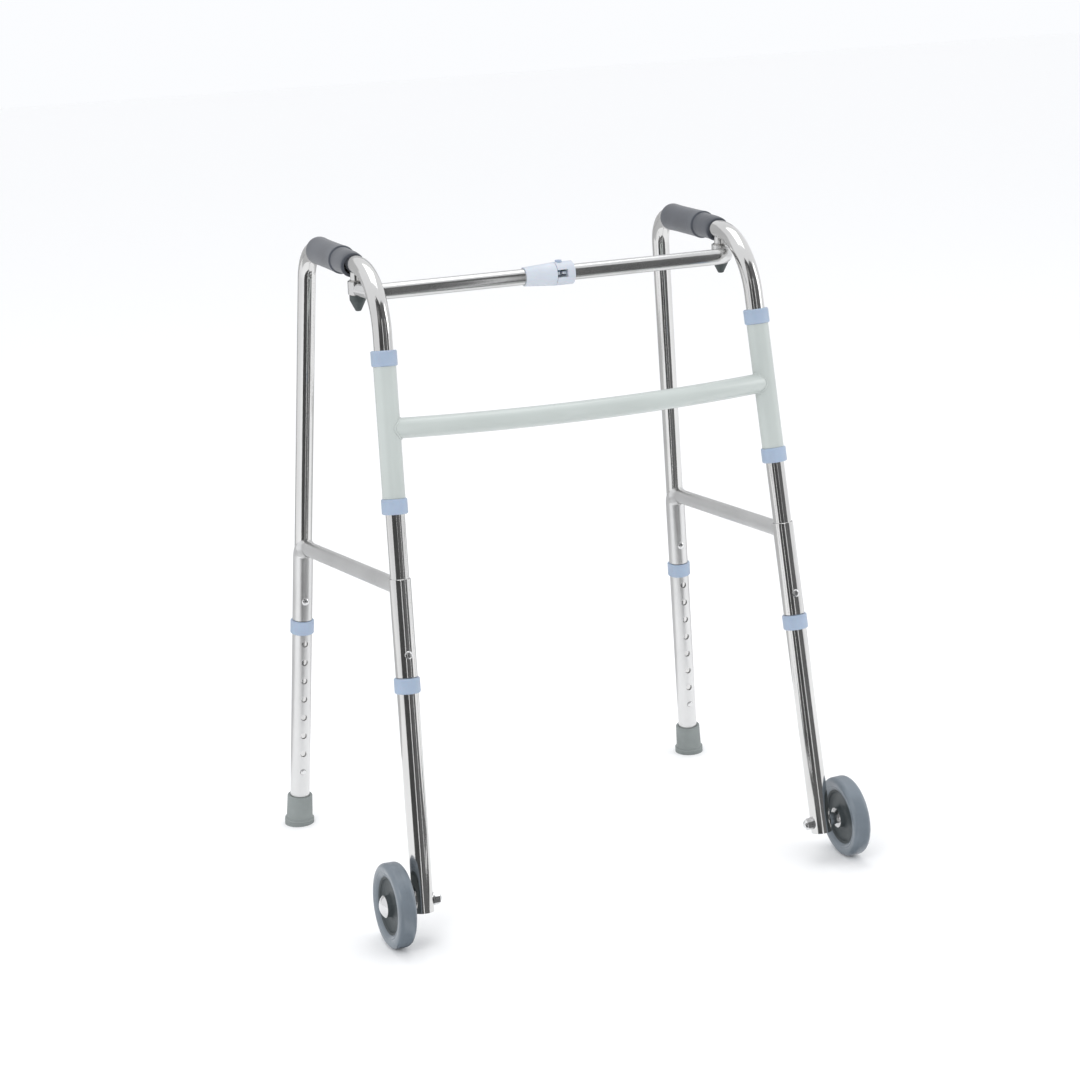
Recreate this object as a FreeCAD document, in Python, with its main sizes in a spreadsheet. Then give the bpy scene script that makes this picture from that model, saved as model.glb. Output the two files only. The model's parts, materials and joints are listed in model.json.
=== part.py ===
import FreeCAD, Part
import math
import os
import re

import Sketcher
from FreeCAD import Placement, Rotation, Vector

# Folding aluminium walking frame with two front wheels.
#
# +Z is up, +X is the user's left and -Y is the way the user walks.  The origin
# is on the floor, under the middle of the frame.  Millimetres and degrees.
#
# Each side is drawn in its own leg frame: z runs up the front leg from the
# wheel axle, x points outboard and y points rearward.  The rear leg has a
# second frame, with its origin at the rear corner of the handle and z running
# up the rear leg.

SIZES = {
    # stance
    "track_half": (262.9, "front leg axis to the middle, at axle height"),
    "leg_lean": (9.52, "rearward lean of the front legs"),
    "leg_splay": (2.26, "outward splay of the front legs"),
    "toe_out": (1.04, "outward turn of each side frame about its front leg"),
    "rear_leg_angle": (13.01, "angle between the front and the rear leg"),
    "rear_leg_flare": (1.0, "extra outward flare of the rear leg"),
    # side tube
    "corner_rise": (729.0, "axle to the front corner of the handle, along the leg"),
    "handle_run": (258.3, "front corner to rear corner of the handle"),
    "front_bend": (82.0, "centreline radius of the front bend"),
    "rear_bend": (42.0, "centreline radius of the rear bend"),
    "frame_od": (22.2, "side tube outside diameter"),
    "frame_wall": (1.4, "side tube wall"),
    "front_tail": (40.0, "axle to the lower end of the side tube, front"),
    "rear_tail": (712.0, "rear corner to the lower end of the side tube, rear"),
    # telescoping legs
    "slide_gap": (0.4, "radial clearance between telescoping tubes"),
    "leg_wall": (1.2, "leg extension wall"),
    "front_leg_top": (261.8, "axle to the top of the front leg extension"),
    "front_leg_foot": (13.0, "axle to the lower end of the front leg extension"),
    "rear_leg_top": (487.6, "rear corner to the top of the rear leg extension"),
    "hole_pitch": (25.4, "height adjustment step"),
    "hole_count": (8, "number of height settings"),
    "button_r": (3.8, "snap button radius"),
    "button_gap": (0.3, "radial clearance round the snap button"),
    "button_proud": (1.6, "how far the button stands out of the leg"),
    "button_root": (5.2, "distance of the button's inner end from the tube axis"),
    "button_press": (3.6, "travel of the snap button"),
    "spring_thick": (0.6, "thickness of the button's spring strip"),
    "spring_wide": (6.0, "width of the button's spring strip"),
    "spring_long": (34.0, "length of the button's spring"),
    "spring_swing": (8.2, "tube axis to the spring's far arm"),
    "spring_pad": (4.0, "half length of the spring's pad under the button"),
    "button_rise": (18.0, "snap button above the end of the side tube"),
    "collar_wall": (2.5, "leg collar wall round the leg extension"),
    "collar_tall": (18.0, "leg collar height"),
    "collar_lip": (1.6, "leg collar wall above the tube end"),
    "collar_chamfer": (1.2, "chamfer of the collar rims"),
    "fit_gap": (0.05, "radial clearance of pieces fixed together"),
    "overcut": (2.0, "how far a cutting shape runs past a face"),
    # sleeves and brace
    "sleeve_wall": (1.2, "leg sleeve wall"),
    "sleeve_stop": (0.6, "clearance between the leg sleeve and the collar"),
    "brace_front": (368.0, "axle to the brace axis, up the front leg"),
    "brace_rear": (388.0, "rear corner to the brace axis, down the rear leg"),
    "brace_od": (19.0, "brace outside diameter"),
    "brace_wall": (1.2, "brace wall"),
    "sleeve_over": (10.5, "leg sleeve above the brace axis"),
    "rivet_rise": (38.0, "sleeve rivet above the middle of the collar"),
    "rivet_r": (2.4, "sleeve rivet shank radius"),
    "rivet_head": (4.8, "sleeve rivet head radius"),
    "rivet_dome": (2.2, "sleeve rivet head height"),
    "rivet_tail": (2.0, "shank inside the tube wall"),
    # front frame
    "hinge_mid": (547.3, "axle to the middle of the hinge sleeve"),
    "hinge_span": (151.4, "hinge sleeve length"),
    "hinge_wall": (1.75, "hinge sleeve wall"),
    "hinge_collar_wall": (3.7, "hinge collar wall"),
    "hinge_collar_tall": (18.0, "hinge collar height"),
    "hinge_slack": (0.2, "axial clearance between the hinge sleeve and its collars"),
    "crossbar_up": (551.5, "axle to the crossbar axis, up the front leg"),
    "crossbar_bow": (31.0, "forward bow of the crossbar"),
    "crossbar_od": (23.8, "crossbar outside diameter"),
    "crossbar_wall": (1.2, "crossbar wall"),
    # grips
    "grip_start": (99.0, "front corner to the front end of the grip"),
    "grip_back": (40.3, "rear corner to the rear end of the grip"),
    "grip_wall": (5.9, "grip wall"),
    "grip_round": (5.0, "rounding of the grip ends"),
    # upper bar
    "pivot_back": (76.0, "front leg axis to the bar pivot, square to the leg"),
    "barrel_mid": (741.0, "height of the bar pivot barrel's middle"),
    "barrel_od": (22.0, "bar pivot barrel diameter"),
    "barrel_tall": (15.0, "bar pivot barrel height"),
    "bar_drop": (2.0, "upper bar axis below the barrel's middle"),
    "bar_forward": (35.5, "upper bar axis in front of the pivot"),
    "bar_inset": (8.5, "elbow corner inboard of the pivot"),
    "bar_bend": (20.0, "centreline radius of the bar elbow"),
    "bar_od": (19.0, "upper bar outside diameter"),
    "bar_wall": (1.2, "upper bar wall"),
    "boss_od": (15.0, "bracket boss diameter"),
    "web_thick": (5.0, "bracket web thickness"),
    "web_long": (34.0, "bracket web length in front of the pivot"),
    "pivot_r": (3.0, "pivot stud radius"),
    "pivot_gap": (0.3, "radial clearance of the barrel on its stud"),
    "pivot_slack": (0.2, "axial clearance beside each pivot washer"),
    "washer_thick": (1.0, "pivot washer thickness"),
    "washer_od": (18.0, "pivot washer diameter"),
    "cap_tall": (19.0, "cap nut height"),
    "cap_top_r": (9.6, "cap nut radius at the top"),
    "cap_tip_r": (3.2, "cap nut radius at the tip"),
    "cap_band": (6.0, "straight part of the cap nut"),
    "cap_round": (1.5, "rounding of the cap nut's tip"),
    "stud_in_boss": (6.0, "stud length inside the boss"),
    "stud_in_cap": (12.0, "stud length inside the cap nut"),
    # latch
    "latch_left": (20.5, "end of the latch collar from the middle"),
    "latch_split": (-2.0, "face between the latch housing and collar"),
    "latch_right": (-41.0, "end of the latch housing from the middle"),
    "latch_od": (28.0, "latch diameter at the split"),
    "latch_neck": (22.6, "latch housing diameter at its outer end"),
    "latch_gap": (0.6, "clearance between the two latch halves"),
    "latch_seat": (18.0, "length of each bar inside its latch half"),
    "slot_deep": (13.0, "latch slot depth from the split"),
    "slot_tall": (9.0, "latch slot height"),
    "slot_up": (1.5, "latch slot middle above the bar axis"),
    "tongue_gap": (0.8, "clearance beyond the tongue's end"),
    "tongue_wide": (17.0, "tongue width"),
    "tongue_tall": (3.0, "tongue thickness"),
    "tongue_root": (9.0, "tongue length buried in the housing"),
    "catch_in": (6.0, "catch pin behind the split"),
    "catch_r": (2.6, "catch radius"),
    "catch_band": (2.6, "catch height"),
    "catch_neck": (1.2, "radius of the catch's neck"),
    "catch_gap": (0.4, "radial clearance of the catch pin"),
    "catch_head_r": (4.0, "latch button radius"),
    "catch_head": (3.0, "latch button height"),
    "catch_proud": (2.0, "latch button above the collar"),
    "catch_press": (3.2, "travel of the latch button"),
    "latch_wall": (2.5, "wall at the latch's blind ends"),
    # wheels
    "tyre_r": (50.0, "wheel radius"),
    "tyre_wide": (22.0, "tyre width"),
    "tyre_edge": (6.0, "rounding of the tyre edges"),
    "tyre_bead": (1.5, "slope of the tyre's side beside the rim"),
    "tyre_seat": (36.5, "radius of the tyre's seat on the wheel core"),
    "core_rim": (3.0, "wheel core rim thickness"),
    "core_wide": (20.0, "wheel core rim width"),
    "core_web": (7.0, "wheel core web thickness"),
    "hub_r": (12.5, "wheel hub radius"),
    "hub_wide": (25.0, "wheel hub width"),
    "rib_count": (6, "ribs on each face of the wheel core"),
    "rib_thick": (2.4, "wheel core rib thickness"),
    "rib_inset": (3.0, "ribs below the rim face"),
    "bush_r": (6.5, "wheel bush outside radius"),
    "axle_r": (4.0, "axle bolt radius"),
    "axle_gap": (0.3, "radial clearance of the bush on the axle"),
    "hub_slack": (0.4, "axial clearance on each side of the hub"),
    "spacer_long": (9.0, "axle spacer length at the leg"),
    "spacer_r": (8.0, "axle spacer radius at the leg"),
    "spacer_flare": (12.5, "axle spacer radius at the wheel"),
    "head_r": (13.0, "axle bolt head radius"),
    "head_tall": (5.5, "axle bolt head height"),
    "nut_flats": (13.0, "axle nut width across flats"),
    "nut_tall": (6.0, "axle nut hexagon height"),
    "nut_dome": (5.2, "axle nut dome radius"),
    "nut_washer": (1.2, "axle nut washer thickness"),
    # rear feet
    "foot_wall": (3.7, "rubber foot wall at the top"),
    "foot_base": (6.5, "rubber foot beyond the leg extension at the floor"),
    "foot_tall": (40.0, "rubber foot height along the leg"),
    "foot_sole": (10.0, "rubber below the leg tube"),
    "foot_band": (7.0, "height of the foot's straight lower band"),
    "foot_step": (1.2, "step above the foot's band"),
    "foot_round": (1.6, "rounding of the foot's top rim"),
    "foot_washer": (1.5, "steel washer in the foot"),
}

LEFT = 1
RIGHT = -1
SIDES = {"left": LEFT, "right": RIGHT}
FULL_TURN = 360.0

doc = FreeCAD.newDocument("walking_frame")


# ---------------------------------------------------------------- the sheet
def make_sheet():
    sheet = doc.addObject("Spreadsheet::Sheet", "Sizes")
    for row, (alias, (number, words)) in enumerate(SIZES.items(), start=1):
        sheet.set("A%d" % row, alias)
        sheet.set("B%d" % row, str(number))
        sheet.set("C%d" % row, words)
        sheet.setAlias("B%d" % row, alias)
    doc.recompute()
    return sheet


sheet = make_sheet()


def cells(text):
    """An expression with each size's name pointing at its cell."""
    return re.sub(r"[a-z_]+", lambda m: "Sizes." + m.group() if m.group() in SIZES else m.group(), text)


def size(text):
    """The number that an expression of sizes gives."""
    found = sheet.evalExpression(cells(text))
    return float(getattr(found, "Value", found))


def bind(thing, **expressions):
    for name, text in expressions.items():
        thing.setExpression(name, cells(text))
    return thing


# ---------------------------------------------------------------- frames
X_AXIS, Y_AXIS, Z_AXIS = Vector(1, 0, 0), Vector(0, 1, 0), Vector(0, 0, 1)


def leg_turn(side):
    """Turn from the leg frame to the walker's frame."""
    splay = Rotation(Y_AXIS, -side * size("leg_splay"))
    lean = Rotation(X_AXIS, -size("leg_lean"))
    toe = Rotation(Z_AXIS, -side * size("toe_out"))
    return splay * lean * toe


def wheel_drop():
    """Height of the axle point that puts the tyre on the floor."""
    tilt = leg_turn(LEFT).multVec(X_AXIS).z
    flat = size("tyre_wide / 2 - tyre_edge")
    upright = math.sqrt(1 - tilt * tilt)
    return size("tyre_r - tyre_edge") * upright + size("tyre_edge") - tilt * (wheel_mid() - flat)


def wheel_mid():
    """Middle of the wheel outboard of the leg axis."""
    return size("frame_od / 2 + slide_gap + leg_wall + spacer_long + hub_slack + hub_wide / 2")


def handle_rise():
    """Slope of the handle in the leg frame that makes it level."""
    turn = leg_turn(LEFT)
    return math.atan2(-turn.multVec(Y_AXIS).z, turn.multVec(Z_AXIS).z)


def rear_corner(side):
    rise = handle_rise()
    run = size("handle_run")
    return Vector(0, run * math.cos(rise), size("corner_rise") + run * math.sin(rise))


def rear_leg_turn(side):
    """Turn from the rear leg's frame to the leg frame."""
    flare = Rotation(Y_AXIS, -side * size("rear_leg_flare"))
    return Rotation(X_AXIS, size("rear_leg_angle")) * flare


def rear_leg_length(side):
    """Rear corner to the floor, down the rear leg."""
    turn = leg_turn(side)
    corner = turn.multVec(rear_corner(side)).z + wheel_drop()
    return corner / turn.multVec(rear_leg_turn(side).multVec(Z_AXIS)).z


def front_to_back():
    """Shift that puts the origin midway between wheels and feet."""
    turn = leg_turn(LEFT)
    down = rear_leg_turn(LEFT).multVec(Vector(0, 0, -rear_leg_length(LEFT)))
    foot = turn.multVec(rear_corner(LEFT) + down).y
    wheel = turn.multVec(Vector(wheel_mid(), 0, 0)).y
    return -(foot + size(FOOT_LOW_R) + wheel - size("tyre_r")) / 2


def leg_frame(side):
    corner = Vector(side * size("track_half"), front_to_back(), wheel_drop())
    return Placement(corner, leg_turn(side))


def rear_frame(side):
    return leg_frame(side) * Placement(rear_corner(side), rear_leg_turn(side))


def along(direction, start=Vector(0, 0, 0)):
    """A placement at start whose z axis points along direction."""
    return Placement(start, Rotation(Z_AXIS, direction))


# ---------------------------------------------------------------- building
made = {}


def keep(label, thing, place):
    """Names a finished sub-part and puts it in its place."""
    thing.Label = label
    thing.Placement = place
    made[label] = thing
    return thing


def raised(height, place=Placement()):
    """The place that stands a height (a number) up the z axis of another."""
    return place * Placement(Vector(0, 0, height), Rotation())


def cylinder(radius, height, place=Placement()):
    """A cylinder; height is an expression, or a number that follows from the stance."""
    solid = doc.addObject("Part::Cylinder", "Cylinder")
    bind(solid, Radius=radius)
    if isinstance(height, str):
        bind(solid, Height=height)
    else:
        solid.Height = height
    solid.Placement = place
    return solid


def cone(low, high, height, place=Placement()):
    solid = doc.addObject("Part::Cone", "Cone")
    bind(solid, Radius1=low, Radius2=high, Height=height)
    solid.Placement = place
    return solid


def box(length, width, height, place=Placement()):
    solid = doc.addObject("Part::Box", "Box")
    bind(solid, Length=length, Width=width, Height=height)
    solid.Placement = place
    return solid


def ball(radius, place=Placement()):
    solid = doc.addObject("Part::Sphere", "Sphere")
    bind(solid, Radius=radius)
    solid.Placement = place
    return solid


def cut(base, *tools):
    tool = tools[0] if len(tools) == 1 else fuse(*tools)
    result = doc.addObject("Part::Cut", "Cut")
    result.Base = base
    result.Tool = tool
    return result


def fuse(*things):
    result = doc.addObject("Part::MultiFuse", "Fuse")
    result.Shapes = list(things)
    return result


def common(base, tool):
    result = doc.addObject("Part::Common", "Common")
    result.Base = base
    result.Tool = tool
    return result


def group(*things):
    """Several separate solids that share one node."""
    result = doc.addObject("Part::Compound", "Group")
    result.Links = list(things)
    return result


def ring(outer, inner, height, place=Placement()):
    """A straight tube standing on place."""
    hole = cylinder(inner, "%s + 2 * overcut" % height, raised(-size("overcut"), place))
    return cut(cylinder(outer, height, place), hole)


def rounded_wire(points, radii):
    """Straight runs through the points, joined by tangent arcs."""
    edges = []
    start = points[0]
    for before, corner, after, radius in zip(points, points[1:], points[2:], radii):
        back = (before - corner).normalize()
        ahead = (after - corner).normalize()
        half = back.getAngle(ahead) / 2
        reach = radius / math.tan(half)
        inward = (back + ahead).normalize()
        middle = corner + inward * (radius / math.sin(half) - radius)
        first, last = corner + back * reach, corner + ahead * reach
        edges.append(Part.LineSegment(start, first).toShape())
        edges.append(Part.Arc(first, middle, last).toShape())
        start = last
    edges.append(Part.LineSegment(start, points[-1]).toShape())
    return Part.Wire(edges)


def path_of(wire):
    path = doc.addObject("Part::Feature", "Path")
    path.Shape = wire
    return path


def swept(path, radius):
    """A round bar of the given radius along a path."""
    first = path.Shape.Edges[0]
    start = path.Shape.OrderedVertexes[0].Point
    heading = first.tangentAt(first.FirstParameter)
    circle = doc.addObject("Part::Circle", "Circle")
    bind(circle, Radius=radius)
    circle.Placement = along(heading, start)
    sweep = doc.addObject("Part::Sweep", "Sweep")
    sweep.Sections = [circle]
    sweep.Spine = (path, ["Edge%d" % n for n in range(1, len(path.Shape.Edges) + 1)])
    sweep.Solid = True
    sweep.Frenet = False
    return sweep


def bent_tube(path, outer, wall):
    return cut(swept(path, outer), swept(path, "%s - %s" % (outer, wall)))


# ---------------------------------------------------------------- bodies
def new_body(name):
    return doc.addObject("PartDesign::Body", name)


def origin_plane(body, role):
    return next(item for item in body.Origin.OriginFeatures if item.Role == role)


def new_sketch(body, role):
    sketch = body.newObject("Sketcher::SketchObject", "Sketch")
    sketch.AttachmentSupport = [(origin_plane(body, role), "")]
    sketch.MapMode = "FlatFace"
    return sketch


def lock(sketch, kind, geometry, vertex, text):
    """Fixes one coordinate of a sketch point to an expression."""
    here = sketch.getPoint(geometry, vertex)
    now = here.x if kind == "DistanceX" else here.y
    number = sketch.addConstraint(Sketcher.Constraint(kind, geometry, vertex, now))
    sketch.setExpression("Constraints[%d]" % number, cells(text))


def outline(sketch, corners):
    """A closed outline whose corners follow pairs of expressions."""
    spots = [Vector(size(across), size(up), 0) for across, up in corners]
    first = len(sketch.Geometry)
    count = len(spots)
    for number in range(count):
        sketch.addGeometry(Part.LineSegment(spots[number], spots[(number + 1) % count]))
    for number in range(count):
        following = first + (number + 1) % count
        sketch.addConstraint(Sketcher.Constraint("Coincident", first + number, 2, following, 1))
    for number, (across, up) in enumerate(corners):
        lock(sketch, "DistanceX", first + number, 1, across)
        lock(sketch, "DistanceY", first + number, 1, up)


def circle_at(sketch, radius, across="0", up="0"):
    spot = Vector(size(across), size(up), 0)
    number = sketch.addGeometry(Part.Circle(spot, Z_AXIS, size(radius)))
    rule = sketch.addConstraint(Sketcher.Constraint("Radius", number, size(radius)))
    sketch.setExpression("Constraints[%d]" % rule, cells(radius))
    lock(sketch, "DistanceX", number, 3, across)
    lock(sketch, "DistanceY", number, 3, up)


def turned(body, corners):
    """A solid of revolution about z: corners are (radius, height)."""
    sketch = new_sketch(body, "XZ_Plane")
    outline(sketch, corners)
    turn = body.newObject("PartDesign::Revolution", "Turned")
    turn.Profile = sketch
    turn.ReferenceAxis = (sketch, ["V_Axis"])
    turn.Angle = FULL_TURN
    doc.recompute()
    return turn


def soften(body, kind, amount, wanted):
    """Fillets or chamfers the edges of the body's tip that wanted() picks."""
    whole = body.Tip
    names = ["Edge%d" % n for n, edge in enumerate(whole.Shape.Edges, start=1) if wanted(edge)]
    step = body.newObject("PartDesign::" + kind, kind)
    step.Base = (whole, names)
    bind(step, **{"Radius" if kind == "Fillet" else "Size": amount})
    doc.recompute()
    return step


CLOSE = 0.01


def rims_at(radius, *heights):
    """Picks the round edges of a turned piece at a radius and some heights."""
    def wanted(edge):
        if edge.Curve.TypeId != "Part::GeomCircle" or abs(edge.Curve.Radius - radius) > CLOSE:
            return False
        return any(abs(edge.Curve.Center.z - height) < CLOSE for height in heights)
    return wanted



# ---------------------------------------------------------------- side frame
FRAME_R = "frame_od / 2"
LEG_BORE = "frame_od / 2 + slide_gap"
LEG_R = "frame_od / 2 + slide_gap + leg_wall"
SLEEVE_R = "frame_od / 2 + slide_gap + sleeve_wall"
COLLAR_R = LEG_R + " + collar_wall"
HINGE_COLLAR_R = LEG_BORE + " + hinge_collar_wall"
GRIP_R = FRAME_R + " + grip_wall"
GRIP_LONG = "handle_run - grip_start - grip_back"
FOOT_TOP_R = LEG_R + " + foot_wall"
FOOT_LOW_R = LEG_R + " + foot_base"
HOLE_R = "button_r + button_gap"


def side_path(side):
    """The side tube's line, from the front tail to the rear tail."""
    corner = rear_corner(side)
    down = rear_leg_turn(side).multVec(Vector(0, 0, -size("rear_tail")))
    points = [
        Vector(0, 0, size("front_tail")),
        Vector(0, 0, size("corner_rise")),
        corner,
        corner + down,
    ]
    return rounded_wire(points, [size("front_bend"), size("rear_bend")])


def front_button_spot():
    """Snap button hole in the front leg, facing rearward."""
    return along(Y_AXIS, Vector(0, 0, size("front_tail + button_rise")))


def rear_button_spot():
    """Snap button hole in the rear leg, facing forward, in the rear leg's frame."""
    spot = along(-Y_AXIS, Vector(0, 0, -size("rear_tail - button_rise")))
    return spot * Placement(Vector(0, 0, 0), Rotation(Z_AXIS, FULL_TURN / 2))


def front_rivet_spot():
    return along(-Y_AXIS, Vector(0, 0, size("front_leg_top - collar_tall / 2 + rivet_rise")))


def rear_rivet_spot():
    return along(-Y_AXIS, Vector(0, 0, -size("rear_leg_top + collar_tall / 2 - rivet_rise")))


def rear_local(side, place):
    """A placement given in the rear leg's frame, in the leg frame."""
    return Placement(rear_corner(side), rear_leg_turn(side)) * place


def side_tube(name, side):
    path = path_of(side_path(side))
    tube = bent_tube(path, FRAME_R, "frame_wall")
    holes = [
        cylinder(HOLE_R, "frame_od", front_button_spot()),
        cylinder(HOLE_R, "frame_od", rear_local(side, rear_button_spot())),
        cylinder("rivet_r + fit_gap", "frame_od", front_rivet_spot()),
        cylinder("rivet_r + fit_gap", "frame_od", rear_local(side, rear_rivet_spot())),
    ]
    keep(name + "_side_tube", cut(tube, *holes), leg_frame(side))


def sleeve_bottoms():
    """Heights of the sleeves' lower ends: up the front leg, down the rear leg."""
    clear = size("collar_lip + sleeve_stop")
    return size("front_leg_top") + clear, size("rear_leg_top") - clear


def leg_sleeves(name, side):
    low, deep = sleeve_bottoms()
    rise = "brace_front + sleeve_over - front_leg_top - collar_lip - sleeve_stop"
    drop = "rear_leg_top - collar_lip - sleeve_stop - brace_rear + sleeve_over"
    front = ring(SLEEVE_R, LEG_BORE, rise, raised(low))
    rear = ring(SLEEVE_R, LEG_BORE, drop, rear_local(side, raised(-deep)))
    holes = [
        cylinder("rivet_r + fit_gap", "frame_od", front_rivet_spot()),
        cylinder("rivet_r + fit_gap", "frame_od", rear_local(side, rear_rivet_spot())),
    ]
    pair = group(cut(front, holes[0]), cut(rear, holes[1]))
    keep(name + "_leg_sleeves", pair, leg_frame(side))


def brace_ends(side):
    front = Vector(0, 0, size("brace_front"))
    rear = rear_local(side, raised(-size("brace_rear"))).Base
    return front, rear


def brace(name, side):
    front, rear = brace_ends(side)
    gap = (rear - front).Length
    place = along(rear - front, front)
    bar = cylinder("brace_od / 2", gap, place)
    hole = cylinder("brace_od / 2 - brace_wall", gap, place)
    tall = "brace_od * 4"
    saddles = [
        cylinder(SLEEVE_R, tall, raised(size("brace_front - brace_od * 2"))),
        cylinder(SLEEVE_R, tall, rear_local(side, raised(-size("brace_rear + brace_od * 2")))),
    ]
    keep(name + "_brace", cut(cut(bar, hole), *saddles), leg_frame(side))


def rivet(place):
    """A dome rivet whose head sits on the sleeve; z points outwards."""
    root = size(FRAME_R) - size("frame_wall + rivet_tail")
    shank = cylinder("rivet_r", "frame_wall + rivet_tail + slide_gap + sleeve_wall + rivet_dome / 2",
                     raised(root, place))
    dome_r = "(rivet_head * rivet_head + rivet_dome * rivet_dome) / (2 * rivet_dome)"
    top = size(SLEEVE_R) + size("rivet_dome")
    head = common(ball(dome_r, raised(top - size(dome_r), place)),
                  cylinder("rivet_head", "rivet_head * 3", place))
    seat = cylinder(SLEEVE_R, "rivet_head * 4",
                    place * Placement(Vector(0, size("rivet_head * 2"), 0), Rotation(X_AXIS, 90)))
    return fuse(shank, cut(head, seat))


def sleeve_rivets(name, side):
    pair = group(rivet(front_rivet_spot()), rivet(rear_local(side, rear_rivet_spot())))
    keep(name + "_sleeve_rivets", pair, leg_frame(side))


def handle_spot(run):
    """A place on the handle's axis, z pointing rearward along it."""
    rise = handle_rise()
    heading = Vector(0, math.cos(rise), math.sin(rise))
    return along(heading, Vector(0, 0, size("corner_rise")) + heading * run)


def grip(name, side):
    body = new_body("grip")
    turned(body, [
        ("frame_od / 2 + fit_gap", "0"),
        (GRIP_R, "0"),
        (GRIP_R, GRIP_LONG),
        ("frame_od / 2 + fit_gap", GRIP_LONG),
    ])
    soften(body, "Fillet", "grip_round", rims_at(size(GRIP_R), 0, size(GRIP_LONG)))
    keep(name + "_grip", body, leg_frame(side) * handle_spot(size("grip_start")))


# ---------------------------------------------------------------- snap buttons
BUTTON_TIP = "frame_od / 2 + slide_gap + leg_wall + button_proud"


def button(name, place):
    body = new_body("button")
    turned(body, [
        ("0", "button_root"),
        ("button_r", "button_root"),
        ("button_r", BUTTON_TIP),
        ("0", BUTTON_TIP),
    ])
    soften(body, "Fillet", "button_proud * 0.9", rims_at(size("button_r"), size(BUTTON_TIP)))
    keep(name, body, place)


def v_spring(place):
    """A folded strip that pushes a snap button out; z points along the button."""
    thick, wide, long = size("spring_thick"), size("spring_wide"), size("spring_long")
    pad, root, far = size("spring_pad"), size("button_root"), -size("spring_swing")
    profile = [
        (pad, root), (-pad, root), (-long, thick / 2), (-long, -thick / 2), (pad, far - thick),
        (pad, far), (-long + 5 * thick, 0), (-pad + thick / 3, root - thick), (pad, root - thick),
    ]
    spots = [place.multVec(Vector(-wide / 2, y, z)) for y, z in profile]
    strip = doc.addObject("Part::Feature", "Spring")
    face = Part.Face(Part.makePolygon(spots + spots[:1]))
    strip.Shape = face.extrude(place.Rotation.multVec(X_AXIS) * wide)
    return strip


def button_springs(name, side):
    pair = group(v_spring(front_button_spot()), v_spring(rear_local(side, rear_button_spot())))
    keep(name + "_button_springs", pair, leg_frame(side))


def snap_buttons(name, side):
    button(name + "_front_button", leg_frame(side) * front_button_spot())
    button(name + "_rear_button", rear_frame(side) * rear_button_spot())


# ---------------------------------------------------------------- leg extensions
FORWARD = -1
REARWARD = 1


def leg_extension(label, long, first_hole, facing, place):
    """A tube standing on place with a row of height setting holes."""
    body = new_body("leg")
    sketch = new_sketch(body, "XY_Plane")
    circle_at(sketch, LEG_R)
    circle_at(sketch, LEG_BORE)
    pad = body.newObject("PartDesign::Pad", "Tube")
    pad.Profile = sketch
    pad.Length = long
    doc.recompute()
    before = body.Shape.Volume
    holes = new_sketch(body, "XZ_Plane")
    spot = holes.addGeometry(Part.Circle(Vector(0, first_hole, 0), Z_AXIS, size(HOLE_R)))
    rule = holes.addConstraint(Sketcher.Constraint("Radius", spot, size(HOLE_R)))
    holes.setExpression("Constraints[%d]" % rule, cells(HOLE_R))
    holes.addConstraint(Sketcher.Constraint("PointOnObject", spot, 3, -2))
    holes.addConstraint(Sketcher.Constraint("DistanceY", -1, 1, spot, 3, first_hole))
    pocket = body.newObject("PartDesign::Pocket", "SettingHole")
    pocket.Profile = holes
    pocket.Reversed = facing == FORWARD
    bind(pocket, Length=LEG_R + " + overcut")
    doc.recompute()
    row = body.newObject("PartDesign::LinearPattern", "SettingHoles")
    row.Originals = [pocket]
    row.Direction = (holes, ["V_Axis"])
    bind(row, Length="hole_pitch * (hole_count - 1)", Occurrences="hole_count")
    body.Tip = row
    doc.recompute()
    if body.Shape.Volume > before - size("hole_count"):
        raise RuntimeError(label + ": the setting holes cut nothing")
    body.Placement = place
    return body


def rear_leg(name, side):
    end = rear_leg_length(side) - size("foot_sole + foot_washer")
    first = end - size("rear_tail - button_rise")
    place = raised(-end, rear_frame(side))
    label = name + "_rear_leg"
    keep(label, leg_extension(label, end - size("rear_leg_top"), first, FORWARD, place), place)


def front_leg(name, side):
    label = name + "_front_leg"
    first = size("front_leg_foot + front_tail + button_rise")
    long = size("front_leg_top + front_leg_foot")
    tube = leg_extension(label, long, first, REARWARD, raised(-size("front_leg_foot")))
    axle_hole = cylinder("axle_r + fit_gap", "frame_od * 2", along(X_AXIS, X_AXIS * -size("frame_od")))
    keep(label, cut(tube, axle_hole), leg_frame(side))


def leg_collar(label, place):
    """A plastic collar over the top rim of a leg extension; z points up the leg."""
    body = new_body("collar")
    low = "collar_lip - collar_tall"
    turned(body, [
        (LEG_R + " + fit_gap", low),
        (COLLAR_R, low),
        (COLLAR_R, "collar_lip"),
        (LEG_BORE, "collar_lip"),
        (LEG_BORE, "fit_gap"),
        (LEG_R + " + fit_gap", "fit_gap"),
    ])
    rim = size(COLLAR_R)
    soften(body, "Chamfer", "collar_chamfer", rims_at(rim, size("collar_lip"), size(low)))
    keep(label, body, place)


def leg_collars(name, side):
    leg_collar(name + "_front_collar", raised(size("front_leg_top"), leg_frame(side)))
    leg_collar(name + "_rear_collar", raised(-size("rear_leg_top"), rear_frame(side)))


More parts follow.
